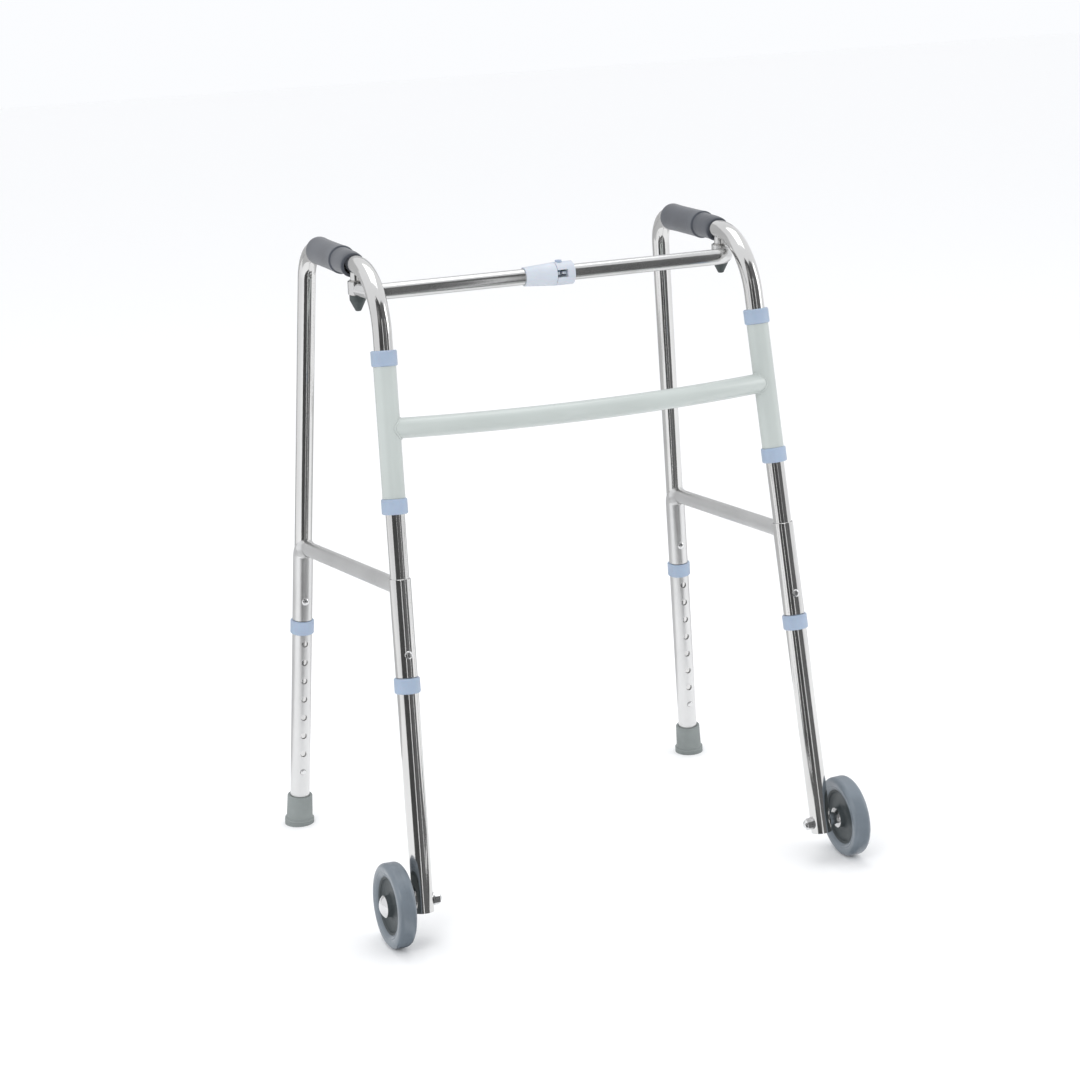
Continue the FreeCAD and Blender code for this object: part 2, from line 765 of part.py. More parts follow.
def rear_foot(name, side):
    """Rubber foot, cut flat by the floor, with a steel washer under the tube."""
    floor = raised(-rear_leg_length(side), rear_frame(side))
    body = new_body("foot")
    turned(body, [
        ("0", "-foot_sole"),
        (FOOT_LOW_R, "-foot_sole"),
        (FOOT_LOW_R, "foot_band"),
        (FOOT_LOW_R + " - foot_step", "foot_band + foot_step"),
        (FOOT_TOP_R, "foot_tall"),
        (LEG_R + " + fit_gap", "foot_tall"),
        (LEG_R + " + fit_gap", "foot_sole"),
        ("0", "foot_sole"),
    ])
    soften(body, "Fillet", "foot_round", rims_at(size(FOOT_TOP_R), size("foot_tall")))
    body.Placement = floor
    span = size(FOOT_LOW_R) * 4
    wide = "(" + FOOT_LOW_R + ") * 4"
    ground = box(wide, wide, wide,
                 Placement(Vector(floor.Base.x - span / 2, floor.Base.y - span / 2, -span), Rotation()))
    keep(name + "_rear_foot", cut(body, ground), Placement())
    washer = cylinder(LEG_R, "foot_washer")
    keep(name + "_foot_washer", washer, raised(size("foot_sole"), floor))


# ---------------------------------------------------------------- wheels
def axle_spot(side, out=0.0):
    """A place on the wheel axle, z pointing outboard."""
    return along(X_AXIS * side, Vector(side * out, 0, 0))


def leg_saddle():
    """The leg's outside, standing across the axle."""
    return cylinder(LEG_R, "spacer_flare * 4", raised(-size("spacer_flare * 2")))


def axle_bolt(name, side):
    start = size(LEG_R + " + nut_washer + nut_tall")
    hub_end = size(LEG_R + " + spacer_long + 2 * hub_slack + hub_wide")
    shank = cylinder("axle_r", start + hub_end + size("head_tall / 2"), axle_spot(side, -start))
    dome_r = "(head_r * head_r + head_tall * head_tall) / (2 * head_tall)"
    centre = axle_spot(side, hub_end + size("head_tall") - size(dome_r))
    dome = common(ball(dome_r, centre), cylinder("head_r", "head_tall", axle_spot(side, hub_end)))
    keep(name + "_axle_bolt", fuse(shank, dome), leg_frame(side))


def axle_nut(name, side):
    """Domed lock nut and washer on the inboard face of the leg."""
    face = axle_spot(-side, size(LEG_R))
    above = raised(size("nut_washer"), face)
    hexagon = doc.addObject("Part::Prism", "Hexagon")
    bind(hexagon, Circumradius="nut_flats / sqrt(3)", Height="nut_tall")
    hexagon.Polygon = 6
    hexagon.Placement = above
    dome = ball("nut_dome", raised(size("nut_tall - nut_washer"), above))
    root = raised(-size("overcut"), face)
    washer = cylinder("nut_flats / 2 + nut_washer", "nut_washer + overcut", root)
    bore = cylinder("axle_r + fit_gap", "nut_washer + nut_tall + overcut", root)
    keep(name + "_axle_nut", cut(fuse(washer, hexagon, dome), bore, leg_saddle()), leg_frame(side))


def axle_spacer(name, side):
    """Flared spacer between the leg and the wheel hub."""
    base = axle_spot(side, size(LEG_R + " - overcut"))
    neck = cylinder("spacer_r", "spacer_long + overcut", base)
    flare = cone("spacer_r", "spacer_flare", "spacer_long / 3",
                 axle_spot(side, size(LEG_R + " + spacer_long * 2 / 3")))
    bore = cylinder("axle_r + fit_gap", "spacer_long + 2 * overcut", base)
    keep(name + "_axle_spacer", cut(fuse(neck, flare), bore, leg_saddle()), leg_frame(side))


def wheel_spot(side):
    """Middle of the wheel, z pointing outboard."""
    return leg_frame(side) * axle_spot(side, wheel_mid())


def tyre(name, side):
    body = new_body("tyre")
    seat_edge = "tyre_seat + tyre_bead"
    turned(body, [
        ("tyre_seat", "-core_wide / 2"),
        ("tyre_seat", "core_wide / 2"),
        (seat_edge, "tyre_wide / 2"),
        ("tyre_r", "tyre_wide / 2"),
        ("tyre_r", "-tyre_wide / 2"),
        (seat_edge, "-tyre_wide / 2"),
    ])
    outer, half = size("tyre_r"), size("tyre_wide / 2")
    soften(body, "Fillet", "tyre_edge", rims_at(outer, half, -half))
    keep(name + "_tyre", body, wheel_spot(side))


def wheel_core(name, side):
    """Moulded core: rim, web, hub and ribs on both faces."""
    body = new_body("core")
    seat = "tyre_seat - fit_gap"
    rim = seat + " - core_rim"
    profile = [
        ("bush_r + fit_gap", "hub_wide / 2"),
        ("hub_r", "hub_wide / 2"),
        ("hub_r", "core_web / 2"),
        (rim, "core_web / 2"),
        (rim, "core_wide / 2"),
        (seat, "core_wide / 2"),
    ]
    turned(body, profile + [(across, "-(%s)" % up) for across, up in reversed(profile)])
    sketch = new_sketch(body, "XY_Plane")
    inner, outer = "hub_r - core_rim / 2", rim + " + core_rim / 2"
    outline(sketch, [
        (inner, "-rib_thick / 2"),
        (outer, "-rib_thick / 2"),
        (outer, "rib_thick / 2"),
        (inner, "rib_thick / 2"),
    ])
    rib = body.newObject("PartDesign::Pad", "Rib")
    rib.Profile = sketch
    rib.Midplane = True
    bind(rib, Length="core_wide - 2 * rib_inset")
    doc.recompute()
    ribs = body.newObject("PartDesign::PolarPattern", "Ribs")
    ribs.Originals = [rib]
    ribs.Axis = (origin_plane(body, "Z_Axis"), [""])
    ribs.Angle = FULL_TURN
    bind(ribs, Occurrences="rib_count")
    body.Tip = ribs
    doc.recompute()
    keep(name + "_wheel_core", body, wheel_spot(side))


def wheel_bush(name, side):
    solid = ring("bush_r", "axle_r + axle_gap", "hub_wide", raised(-size("hub_wide / 2")))
    keep(name + "_wheel_bush", solid, wheel_spot(side))


# ---------------------------------------------------------------- front frame
HINGE_R = "frame_od / 2 + slide_gap + hinge_wall"


def hinge_sleeve(name, side):
    solid = ring(HINGE_R, LEG_BORE, "hinge_span", raised(size("hinge_mid - hinge_span / 2")))
    keep(name + "_hinge_sleeve", solid, leg_frame(side))


def hinge_collars(name, side):
    """The two collars on the front leg that the hinge sleeve turns between."""
    low = size("hinge_mid - hinge_span / 2 - hinge_slack - hinge_collar_tall")
    high = size("hinge_mid + hinge_span / 2 + hinge_slack")
    rings = [
        chamfered(ring(HINGE_COLLAR_R, LEG_BORE, "hinge_collar_tall", raised(height)),
                  size(HINGE_COLLAR_R), "collar_chamfer")
        for height in (low, high)
    ]
    keep(name + "_hinge_collars", group(*rings), leg_frame(side))


def chamfered(solid, radius, amount):
    """Chamfers a ring's two outer rims."""
    doc.recompute()
    result = doc.addObject("Part::Chamfer", "Chamfer")
    result.Base = solid
    width = size(amount)
    result.Edges = [
        (number, width, width) for number, edge in enumerate(solid.Shape.Edges, start=1)
        if edge.Curve.TypeId == "Part::GeomCircle" and abs(edge.Curve.Radius - radius) < CLOSE
    ]
    return result


def crossbar():
    end = leg_frame(LEFT).multVec(Vector(0, 0, size("crossbar_up")))
    middle = Vector(0, end.y - size("crossbar_bow"), end.z)
    other = Vector(-end.x, end.y, end.z)
    path = path_of(Part.Wire([Part.Arc(end, middle, other).toShape()]))
    tube = bent_tube(path, "crossbar_od / 2", "crossbar_wall")
    low = raised(size("crossbar_up - crossbar_od * 2"))
    saddles = [cylinder(HINGE_R, "crossbar_od * 4", leg_frame(side) * low) for side in SIDES.values()]
    keep("crossbar", cut(tube, *saddles), Placement())


# ---------------------------------------------------------------- upper bar
def pivot_spot(side, height="barrel_mid"):
    """A place on the bar's pivot axis, z pointing straight up."""
    on_leg = leg_frame(side).multVec(Vector(0, size("pivot_back"), size("corner_rise")))
    return Placement(Vector(on_leg.x, on_leg.y, size(height)), Rotation())


def bar_point(across):
    """A point on the upper bar's straight run."""
    pivot = pivot_spot(LEFT).Base
    return Vector(across, pivot.y - size("bar_forward"), size("barrel_mid - bar_drop"))


BARREL_FLOOR = "barrel_mid - barrel_tall / 2"
BOSS_FLOOR = "barrel_mid + barrel_tall / 2 + washer_thick + 2 * pivot_slack"
CAP_CEILING = "barrel_mid - barrel_tall / 2 - washer_thick - 2 * pivot_slack"


def upper_bar(name, side, inner_end):
    """Half of the upper bar: barrel, elbow and straight run to the latch."""
    pivot = pivot_spot(side).Base
    elbow = bar_point(pivot.x - side * size("bar_inset"))
    centre = Vector(pivot.x, pivot.y, elbow.z)
    start = centre + (elbow - centre).normalize() * size("barrel_od / 4")
    path = path_of(rounded_wire([start, elbow, bar_point(inner_end)], [size("bar_bend")]))
    barrel = cylinder("barrel_od / 2", "barrel_tall", pivot_spot(side, BARREL_FLOOR))
    tube = cut(swept(path, "bar_od / 2"), swept(path, "bar_od / 2 - bar_wall"))
    bore = cylinder("pivot_r + pivot_gap", "barrel_tall + 2 * overcut",
                    raised(-size("overcut"), pivot_spot(side, BARREL_FLOOR)))
    nut_room = cylinder("barrel_od / 2 + bar_wall", "bar_od", pivot_spot(side, BARREL_FLOOR + " - bar_od"))
    keep(name + "_bar", cut(fuse(cut(tube, nut_room), barrel), bore), Placement())


def bar_bracket(name, side):
    """Welded boss and web under the handle, behind the front bend."""
    base = pivot_spot(side, BOSS_FLOOR)
    level = leg_frame(side).multVec(rear_corner(side)).z - base.Base.z
    boss = cylinder("boss_od / 2", level, base)
    heading = leg_frame(side).Rotation.multVec(-Y_AXIS)
    turn = Rotation(Z_AXIS, math.degrees(math.atan2(heading.y, heading.x)))
    web = box("web_long", "web_thick", "boss_od",
              base * Placement(Vector(0, 0, 0), turn) * Placement(Vector(0, -size("web_thick / 2"), 0), Rotation()))
    web.setExpression("Height", None)
    web.Height = level
    line = swept(path_of(side_path(side)), FRAME_R)
    line.Placement = leg_frame(side)
    bore = cylinder("pivot_r + fit_gap", "stud_in_boss + fit_gap", base)
    keep(name + "_bar_bracket", cut(fuse(boss, web), line, bore), Placement())


def pivot_stud(name, side):
    low = size(CAP_CEILING + " - stud_in_cap")
    high = size(BOSS_FLOOR + " + stud_in_boss")
    keep(name + "_pivot_stud", cylinder("pivot_r", high - low), raised(low - size("barrel_mid"), pivot_spot(side)))


def pivot_washers(name, side):
    spots = [pivot_spot(side, CAP_CEILING + " + pivot_slack"),
             pivot_spot(side, BOSS_FLOOR + " - pivot_slack - washer_thick")]
    rings = [ring("washer_od / 2", "pivot_r + fit_gap", "washer_thick", spot) for spot in spots]
    keep(name + "_pivot_washers", group(*rings), Placement())


def cap_nut(name, side):
    """Pointed cap nut under the bar's barrel."""
    body = new_body("cap")
    bore = "pivot_r + fit_gap"
    turned(body, [
        (bore, "0"),
        ("cap_top_r", "0"),
        ("cap_top_r", "-cap_band"),
        ("cap_tip_r", "-cap_tall"),
        ("0", "-cap_tall"),
        ("0", "-stud_in_cap - fit_gap"),
        (bore, "-stud_in_cap - fit_gap"),
    ])
    soften(body, "Fillet", "cap_round", rims_at(size("cap_tip_r"), -size("cap_tall")))
    keep(name + "_cap_nut", body, pivot_spot(side, CAP_CEILING))


# ---------------------------------------------------------------- latch
def across_spot(across):
    """A place on the upper bar, z pointing to the user's left along it."""
    return along(X_AXIS, bar_point(across))


def latch_block(start, long, wide, tall):
    """A block centred on the latch slot; every size is an expression."""
    corner = bar_point(size(start)) + Vector(0, -size(wide) / 2, size("slot_up") - size(tall) / 2)
    return box(long, wide, tall, Placement(corner, Rotation()))


def catch_spot(height):
    """A place on the latch button's axis, at a height above the bar's axis."""
    middle = bar_point(size("latch_split + catch_in"))
    return Placement(middle + Vector(0, 0, size(height)), Rotation())


CATCH_TOP = "latch_od / 2 + catch_proud"
CATCH_LOW = "slot_up - catch_band / 2"
WELL_FLOOR = "latch_wall - latch_od / 2"


def latch_housing():
    """Right half of the latch: a tapered sleeve with a slotted tongue."""
    shell = cone("latch_neck / 2", "latch_od / 2", "latch_split - latch_right - latch_gap",
                 across_spot(size("latch_right")))
    seat = cylinder("bar_od / 2 + fit_gap", "latch_seat + overcut",
                    across_spot(size("latch_right - overcut")))
    tongue = latch_block("latch_split - latch_gap - tongue_root",
                         "tongue_root + latch_gap + slot_deep - tongue_gap", "tongue_wide", "tongue_tall")
    hole = cylinder("catch_r + catch_gap", "slot_tall", catch_spot("slot_up - slot_tall / 2"))
    width = "2 * (catch_neck + catch_gap)"
    way_out = box(width, "latch_od", "slot_tall", catch_spot("slot_up - slot_tall / 2")
                  * Placement(Vector(-size(width) / 2, -size("latch_od"), 0), Rotation()))
    keep("latch_housing", cut(fuse(shell, tongue), seat, hole, way_out), Placement())


def latch_collar():
    """Left half of the latch: a ring whose slot takes the tongue."""
    shell = cylinder("latch_od / 2", "latch_left - latch_split", across_spot(size("latch_split")))
    seat = cylinder("bar_od / 2 + fit_gap", "latch_left - latch_split - slot_deep - latch_wall + overcut",
                    across_spot(size("latch_split + slot_deep + latch_wall")))
    slot = latch_block("latch_split - overcut", "slot_deep + overcut", "latch_od + overcut", "slot_tall")
    head_room = cylinder("catch_head_r + catch_gap", "latch_od",
                         catch_spot(CATCH_TOP + " - catch_head - catch_press - catch_gap"))
    well = cylinder("catch_r + catch_gap", "latch_od", catch_spot(WELL_FLOOR))
    keep("latch_collar", cut(shell, seat, slot, head_room, well), Placement())


def latch_button():
    """Head, neck and catch: pressed down, the neck clears the tongue's way out."""
    catch = cylinder("catch_r", "catch_band", catch_spot(CATCH_LOW))
    neck = cylinder("catch_neck", "%s - (%s) - catch_head / 2" % (CATCH_TOP, CATCH_LOW), catch_spot(CATCH_LOW))
    head = cylinder("catch_head_r", "catch_head", catch_spot(CATCH_TOP + " - catch_head"))
    keep("latch_button", fuse(catch, neck, head), Placement())


def latch_spring():
    """Coil spring under the catch, as its closed outer shape."""
    keep("latch_spring", cylinder("catch_r", "%s - (%s)" % (CATCH_LOW, WELL_FLOOR)), catch_spot(WELL_FLOOR))


# ---------------------------------------------------------------- the walker
def side_frame(name, side):
    side_tube(name, side)
    leg_sleeves(name, side)
    brace(name, side)
    sleeve_rivets(name, side)
    grip(name, side)
    snap_buttons(name, side)
    button_springs(name, side)
    bar_bracket(name, side)
    pivot_stud(name, side)
    pivot_washers(name, side)
    cap_nut(name, side)


def lower_legs(name, side):
    rear_leg(name, side)
    rear_foot(name, side)
    front_leg(name, side)
    leg_collars(name, side)
    axle_bolt(name, side)
    axle_nut(name, side)
    axle_spacer(name, side)


def wheel(name, side):
    tyre(name, side)
    wheel_core(name, side)
    wheel_bush(name, side)


def build():
    crossbar()
    for name, side in SIDES.items():
        hinge_sleeve(name, side)
        hinge_collars(name, side)
        side_frame(name, side)
        lower_legs(name, side)
        wheel(name, side)
    upper_bar("left", LEFT, size("latch_split + slot_deep + latch_wall"))
    upper_bar("right", RIGHT, size("latch_right + latch_seat"))
    latch_housing()
    latch_collar()
    latch_button()
    latch_spring()


def export():
    doc.recompute()
    for item in doc.Objects:
        if "Invalid" in item.State or "Error" in item.State:
            raise RuntimeError("%s did not build: %s" % (item.Label, item.State))
    for label, item in made.items():
        if item.Shape.isNull() or not item.Shape.isValid():
            raise RuntimeError(label + " has no valid shape")
    os.makedirs("parts", exist_ok=True)
    for label, item in made.items():
        item.Shape.exportStep("parts/%s.step" % label)
    print(len(made), "sub-parts")


build()
export()
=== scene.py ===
"""Looks of a folding aluminium walking frame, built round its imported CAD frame."""

import json
import logging
import math
from dataclasses import dataclass
from enum import Enum

import bmesh
import bpy
from mathutils import Matrix, Vector, geometry


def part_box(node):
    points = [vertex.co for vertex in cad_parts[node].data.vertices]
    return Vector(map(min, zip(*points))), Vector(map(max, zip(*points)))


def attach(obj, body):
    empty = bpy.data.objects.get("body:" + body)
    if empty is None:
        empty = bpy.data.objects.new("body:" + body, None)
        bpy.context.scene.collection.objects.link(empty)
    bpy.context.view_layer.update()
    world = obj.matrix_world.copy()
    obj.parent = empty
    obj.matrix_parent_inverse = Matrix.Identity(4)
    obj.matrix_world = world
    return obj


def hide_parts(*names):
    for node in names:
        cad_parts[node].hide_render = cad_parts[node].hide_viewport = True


log = logging.getLogger("walking_frame")

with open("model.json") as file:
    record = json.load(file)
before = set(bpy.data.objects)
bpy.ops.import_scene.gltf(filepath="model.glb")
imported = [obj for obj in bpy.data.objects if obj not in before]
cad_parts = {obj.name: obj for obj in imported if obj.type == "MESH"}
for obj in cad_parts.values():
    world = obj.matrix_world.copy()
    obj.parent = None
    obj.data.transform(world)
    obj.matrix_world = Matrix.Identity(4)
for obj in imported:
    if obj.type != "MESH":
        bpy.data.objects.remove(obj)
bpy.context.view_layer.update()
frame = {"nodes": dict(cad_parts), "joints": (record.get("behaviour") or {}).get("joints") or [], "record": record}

MM = 0.001
SEAM = 1e-7
JOINTS = {joint["name"]: joint for joint in frame["joints"]}


class Side(Enum):
    """The two sides of the walker, as its user stands in it."""

    LEFT = "left"
    RIGHT = "right"

    @property
    def out(self) -> float:
        """Plus or minus one: the direction of X that points outboard."""
        return 1.0 if self is Side.LEFT else -1.0

    def node(self, name: str) -> str:
        """A node's or body's full name on this side."""
        return f"{self.value}_{name}"

    def joint(self, name: str) -> dict:
        """The joint of that name on this side."""
        return JOINTS[self.node(name)]


# ---------------------------------------------------------------- finishes
class Nodes:
    """A short way to write a material's nodes."""

    def __init__(self, name: str) -> None:
        """Starts a material that holds one Principled shader.

        Args:
            name: the material's name.
        """
        self.material = bpy.data.materials.new(name)
        self.material.use_nodes = True
        self.tree = self.material.node_tree
        self.shader = self.tree.nodes["Principled BSDF"]
        self.spots = self.tree.nodes.new("ShaderNodeTexCoord").outputs["Object"]

    def add(self, kind: str, **settings: object) -> bpy.types.Node:
        """Adds a node.

        Args:
            kind: the node's type, without the ShaderNode in front.
            **settings: properties of the node, or values of its inputs.

        Returns:
            The new node.
        """
        node = self.tree.nodes.new("ShaderNode" + kind)
        for name, setting in settings.items():
            if hasattr(node, name):
                setattr(node, name, setting)
            else:
                node.inputs[name.replace("_", " ")].default_value = setting
        return node

    def link(self, start: bpy.types.NodeSocket, end: bpy.types.NodeSocket) -> None:
        """Joins an output to an input."""
        self.tree.links.new(start, end)

    def stretched(self, scale: tuple[float, float, float]) -> bpy.types.NodeSocket:
        """Object coordinates, scaled along each axis.

        Args:
            scale: the factor along X, Y and Z.

        Returns:
            The coordinates' socket.
        """
        mapping = self.add("Mapping")
        mapping.inputs["Scale"].default_value = scale
        self.link(self.spots, mapping.inputs["Vector"])
        return mapping.outputs["Vector"]

    def noise(self, scale: float, detail: float = 3.0,
              spots: bpy.types.NodeSocket | None = None) -> bpy.types.NodeSocket:
        """Noise over the surface.

        Args:
            scale: waves per metre.
            detail: octaves.
            spots: the coordinates, or Object coordinates if left out.

        Returns:
            The noise's factor.
        """
        texture = self.add("TexNoise", Scale=scale, Detail=detail)
        self.link(spots or self.spots, texture.inputs["Vector"])
        return texture.outputs["Fac"]

    def ramp(self, factor: bpy.types.NodeSocket,
             stops: list[tuple[float, tuple[float, float, float]]]) -> bpy.types.NodeSocket:
        """Colours along a factor.

        Args:
            factor: what picks the colour.
            stops: pairs of a position and a linear colour.

        Returns:
            The colour's socket.
        """
        node = self.add("ValToRGB")
        band = node.color_ramp
        while len(band.elements) < len(stops):
            band.elements.new(0.5)
        for element, (place, colour) in zip(band.elements, stops):
            element.position = place
            element.color = (*colour, 1.0)
        self.link(factor, node.inputs["Fac"])
        return node.outputs["Color"]

    def span(self, factor: bpy.types.NodeSocket, low: float, high: float,
             start: float = 0.3, end: float = 0.7) -> bpy.types.NodeSocket:
        """A factor mapped to a range.

        Args:
            factor: what is mapped.
            low: the result at start.
            high: the result at end.
            start: the factor's lower value.
            end: the factor's upper value.

        Returns:
            The result's socket.
        """
        node = self.add("MapRange")
        for name, value in (("From Min", start), ("From Max", end), ("To Min", low), ("To Max", high)):
            node.inputs[name].default_value = value
        self.link(factor, node.inputs["Value"])
        return node.outputs["Result"]

    def bump(self, height: bpy.types.NodeSocket, depth: float, strength: float = 1.0) -> None:
        """Roughens the surface.

        Args:
            height: the relief, from 0 to 1.
            depth: the relief's height, in metres.
            strength: how much of it shows.
        """
        node = self.add("Bump", Strength=strength, Distance=depth)
        self.link(height, node.inputs["Height"])
        before = self.shader.inputs["Normal"]
        if before.is_linked:
            self.link(before.links[0].from_socket, node.inputs["Normal"])
        self.link(node.outputs["Normal"], before)

    def set(self, **values: float) -> None:
        """Sets constants on the shader's own sockets."""
        for name, value in values.items():
            self.shader.inputs[name.replace("_", " ")].default_value = value

    def cells(self, scale: float) -> bpy.types.NodeSocket:
        """Round cells over the surface.

        Args:
            scale: cells per metre.

        Returns:
            The distance from each cell's middle.
        """
        texture = self.add("TexVoronoi", Scale=scale)
        self.link(self.spots, texture.inputs["Vector"])
        return texture.outputs["Distance"]

    def mixed(self, first: bpy.types.NodeSocket, share: float,
              second: bpy.types.NodeSocket) -> bpy.types.NodeSocket:
        """A share of one factor, added to another.

        Args:
            first: the factor of which a share is taken.
            share: how much of it.
            second: the factor that it is added to.

        Returns:
            The sum's socket.
        """
        node = self.add("Math", operation="MULTIPLY_ADD")
        self.link(first, node.inputs[0])
        node.inputs[1].default_value = share
        self.link(second, node.inputs[2])
        return node.outputs[0]

    def mottle(self, factor: bpy.types.NodeSocket, colour: tuple[float, float, float],
               shades: tuple[float, float], places: tuple[float, float]) -> None:
        """Colours the surface between a darker and a lighter shade of one colour.

        Args:
            factor: what picks the shade.
            colour: the colour, linear.
            shades: the factors that darken and lighten it.
            places: where along the factor the two shades stand.
        """
        stops = [(place, tinted(colour, shade)) for place, shade in zip(places, shades)]
        self.link(self.ramp(factor, stops), self.shader.inputs["Base Color"])

    def gloss(self, factor: bpy.types.NodeSocket, low: float, high: float,
              start: float = 0.3, end: float = 0.7) -> None:
        """Lets the roughness follow a factor.

        Args:
            factor: what is followed.
            low: the roughness at start.
            high: the roughness at end.
            start: the factor's lower value.
            end: the factor's upper value.
        """
        self.link(self.span(factor, low, high, start, end), self.shader.inputs["Roughness"])


def tinted(colour: tuple[float, float, float], factor: float) -> tuple[float, float, float]:
    """A colour made lighter or darker by a factor."""
    return tuple(min(1.0, part * factor) for part in colour)


@dataclass(frozen=True)
class Metal:
    """A bare, drawn or polished metal."""

    name: str
    colour: tuple[float, float, float]
    rough: float
    spread: float
    draw_scale: tuple[float, float, float] = (1.0, 1.0, 0.04)
    scratch: float = 0.000004

    def make(self) -> bpy.types.Material:
        """Builds the material.

        Returns:
            The material, with drawing lines, smudges and faint waves.
        """
        nodes = Nodes(self.name)
        nodes.set(Metallic=1.0, IOR=1.45)
        smudge = nodes.noise(scale=14.0, detail=4.0)
        nodes.mottle(smudge, self.colour, shades=(0.93, 1.04), places=(0.30, 0.72))
        lines = nodes.noise(scale=2600.0, detail=2.0, spots=nodes.stretched(self.draw_scale))
        mixed = nodes.mixed(lines, 0.6, smudge)
        nodes.gloss(mixed, self.rough, self.rough + self.spread, start=0.5, end=1.1)
        nodes.bump(lines, depth=self.scratch)
        nodes.bump(nodes.noise(scale=38.0, detail=2.0), depth=0.00006, strength=0.5)
        return nodes.material


@dataclass(frozen=True)
class Paint:
    """Sprayed gloss paint over metal."""

    name: str
    colour: tuple[float, float, float]

    def make(self) -> bpy.types.Material:
        """Builds the material.

        Returns:
            The material, with fine orange peel and a clear coat.
        """
        nodes = Nodes(self.name)
        nodes.set(Roughness=0.34, Coat_Weight=0.55, Coat_Roughness=0.08, IOR=1.5)
        cloud = nodes.noise(scale=9.0, detail=3.0)
        nodes.mottle(cloud, self.colour, shades=(0.95, 1.03), places=(0.3, 0.7))
        nodes.gloss(nodes.noise(scale=60.0), low=0.28, high=0.40)
        nodes.bump(nodes.noise(scale=900.0, detail=2.0), depth=0.00003, strength=0.6)
        return nodes.material


@dataclass(frozen=True)
class Plastic:
    """Moulded plastic."""

    name: str
    colour: tuple[float, float, float]
    rough: float
    grain: float = 0.00002
    glow_through: float = 0.0

    def make(self) -> bpy.types.Material:
        """Builds the material.

        Returns:
            The material, with a fine moulded grain and uneven gloss.
        """
        nodes = Nodes(self.name)
        nodes.set(IOR=1.47, Subsurface_Weight=self.glow_through, Subsurface_Scale=0.004)
        cloud = nodes.noise(scale=30.0, detail=4.0)
        nodes.mottle(cloud, self.colour, shades=(0.93, 1.05), places=(0.3, 0.7))
        nodes.gloss(nodes.noise(scale=90.0, detail=4.0), low=self.rough - 0.05, high=self.rough + 0.08)
        nodes.bump(nodes.noise(scale=2400.0, detail=2.0), depth=self.grain)
        return nodes.material


@dataclass(frozen=True)
class Rubber:
    """Moulded rubber or tyre compound, with an uneven bloom."""

    name: str
    colour: tuple[float, float, float]
    rough: float
    coat: float = 0.0

    def make(self) -> bpy.types.Material:
        """Builds the material.

        Returns:
            The material, with a soft bloom and fine pitting.
        """
        nodes = Nodes(self.name)
        nodes.set(IOR=1.52, Coat_Weight=self.coat, Coat_Roughness=0.22)
        bloom = nodes.noise(scale=26.0, detail=5.0)
        nodes.mottle(bloom, self.colour, shades=(0.86, 1.12), places=(0.28, 0.75))
        nodes.gloss(nodes.noise(scale=150.0, detail=4.0), low=self.rough - 0.07, high=self.rough + 0.10)
        nodes.bump(nodes.cells(scale=1500.0), depth=0.00003, strength=0.5)
        nodes.bump(nodes.noise(scale=420.0, detail=3.0), depth=0.00005, strength=0.5)
        return nodes.material


@dataclass(frozen=True)
class Foam:
    """Closed-cell foam: matt, dark, with small open cells, and painted shade in their pits."""

    name: str
    colour: tuple[float, float, float]

    def make(self) -> bpy.types.Material:
        """Builds the material.

        Returns:
            The material, with two sizes of cell, painted shade in the pits of the small cells, and a soft sheen.
        """
        nodes = Nodes(self.name)
        nodes.set(IOR=1.4, Sheen_Weight=0.35, Sheen_Roughness=0.5, Specular_IOR_Level=0.3)
        cells = nodes.cells(scale=900.0)
        cloud = nodes.noise(scale=45.0, detail=5.0)
        # painted shade: the colour darkens towards the middle of each small cell, where the bump sinks a pit; the
        # cloud adds an uneven tone of its own
        nodes.mottle(nodes.mixed(cells, 0.35, cloud), self.colour, shades=(0.72, 1.25), places=(0.35, 0.85))
        nodes.gloss(cloud, low=0.72, high=0.90)
        nodes.bump(cells, depth=0.00022, strength=0.8)
        nodes.bump(nodes.noise(scale=260.0, detail=4.0), depth=0.00030, strength=0.7)
        return nodes.material


class Finish(Enum):
    """Every finish on the walker, named as the record's material slots are."""

    POLISHED_TUBE = Metal("polished_tube", (0.68, 0.675, 0.665), 0.07, 0.06)
    SATIN_TUBE = Metal("satin_tube", (0.71, 0.71, 0.705), 0.27, 0.10)
    SATIN_BAR = Metal("satin_bar", (0.64, 0.64, 0.635), 0.14, 0.10, (0.04, 1.0, 1.0))
    HINGE_PAINT = Paint("hinge_paint", (0.49, 0.53, 0.51))
    BLUE_PLASTIC = Plastic("blue_plastic", (0.34, 0.42, 0.54), 0.34, glow_through=0.08)
    LATCH_PLASTIC = Plastic("latch_plastic", (0.54, 0.58, 0.64), 0.36, glow_through=0.10)
    DARK_PLASTIC = Plastic("dark_plastic", (0.055, 0.068, 0.068), 0.42)
    FOAM_GRIP = Foam("foam_grip", (0.060, 0.066, 0.079))
    GREY_RUBBER = Rubber("grey_rubber", (0.24, 0.265, 0.26), 0.55)
    GREY_TYRE = Rubber("grey_tyre", (0.155, 0.185, 0.215), 0.36, 0.35)
    WHEEL_PLASTIC = Plastic("wheel_plastic", (0.060, 0.072, 0.076), 0.45)
    BRIGHT_METAL = Metal("bright_metal", (0.74, 0.74, 0.74), 0.14, 0.08, (1.0, 1.0, 1.0))
    PLAIN_STEEL = Metal("plain_steel", (0.58, 0.57, 0.55), 0.30, 0.15, (1.0, 1.0, 1.0))

    @property
    def slot(self) -> str:
        """The record's material slot."""
        return "satin_tube" if self is Finish.SATIN_BAR else self.value.name


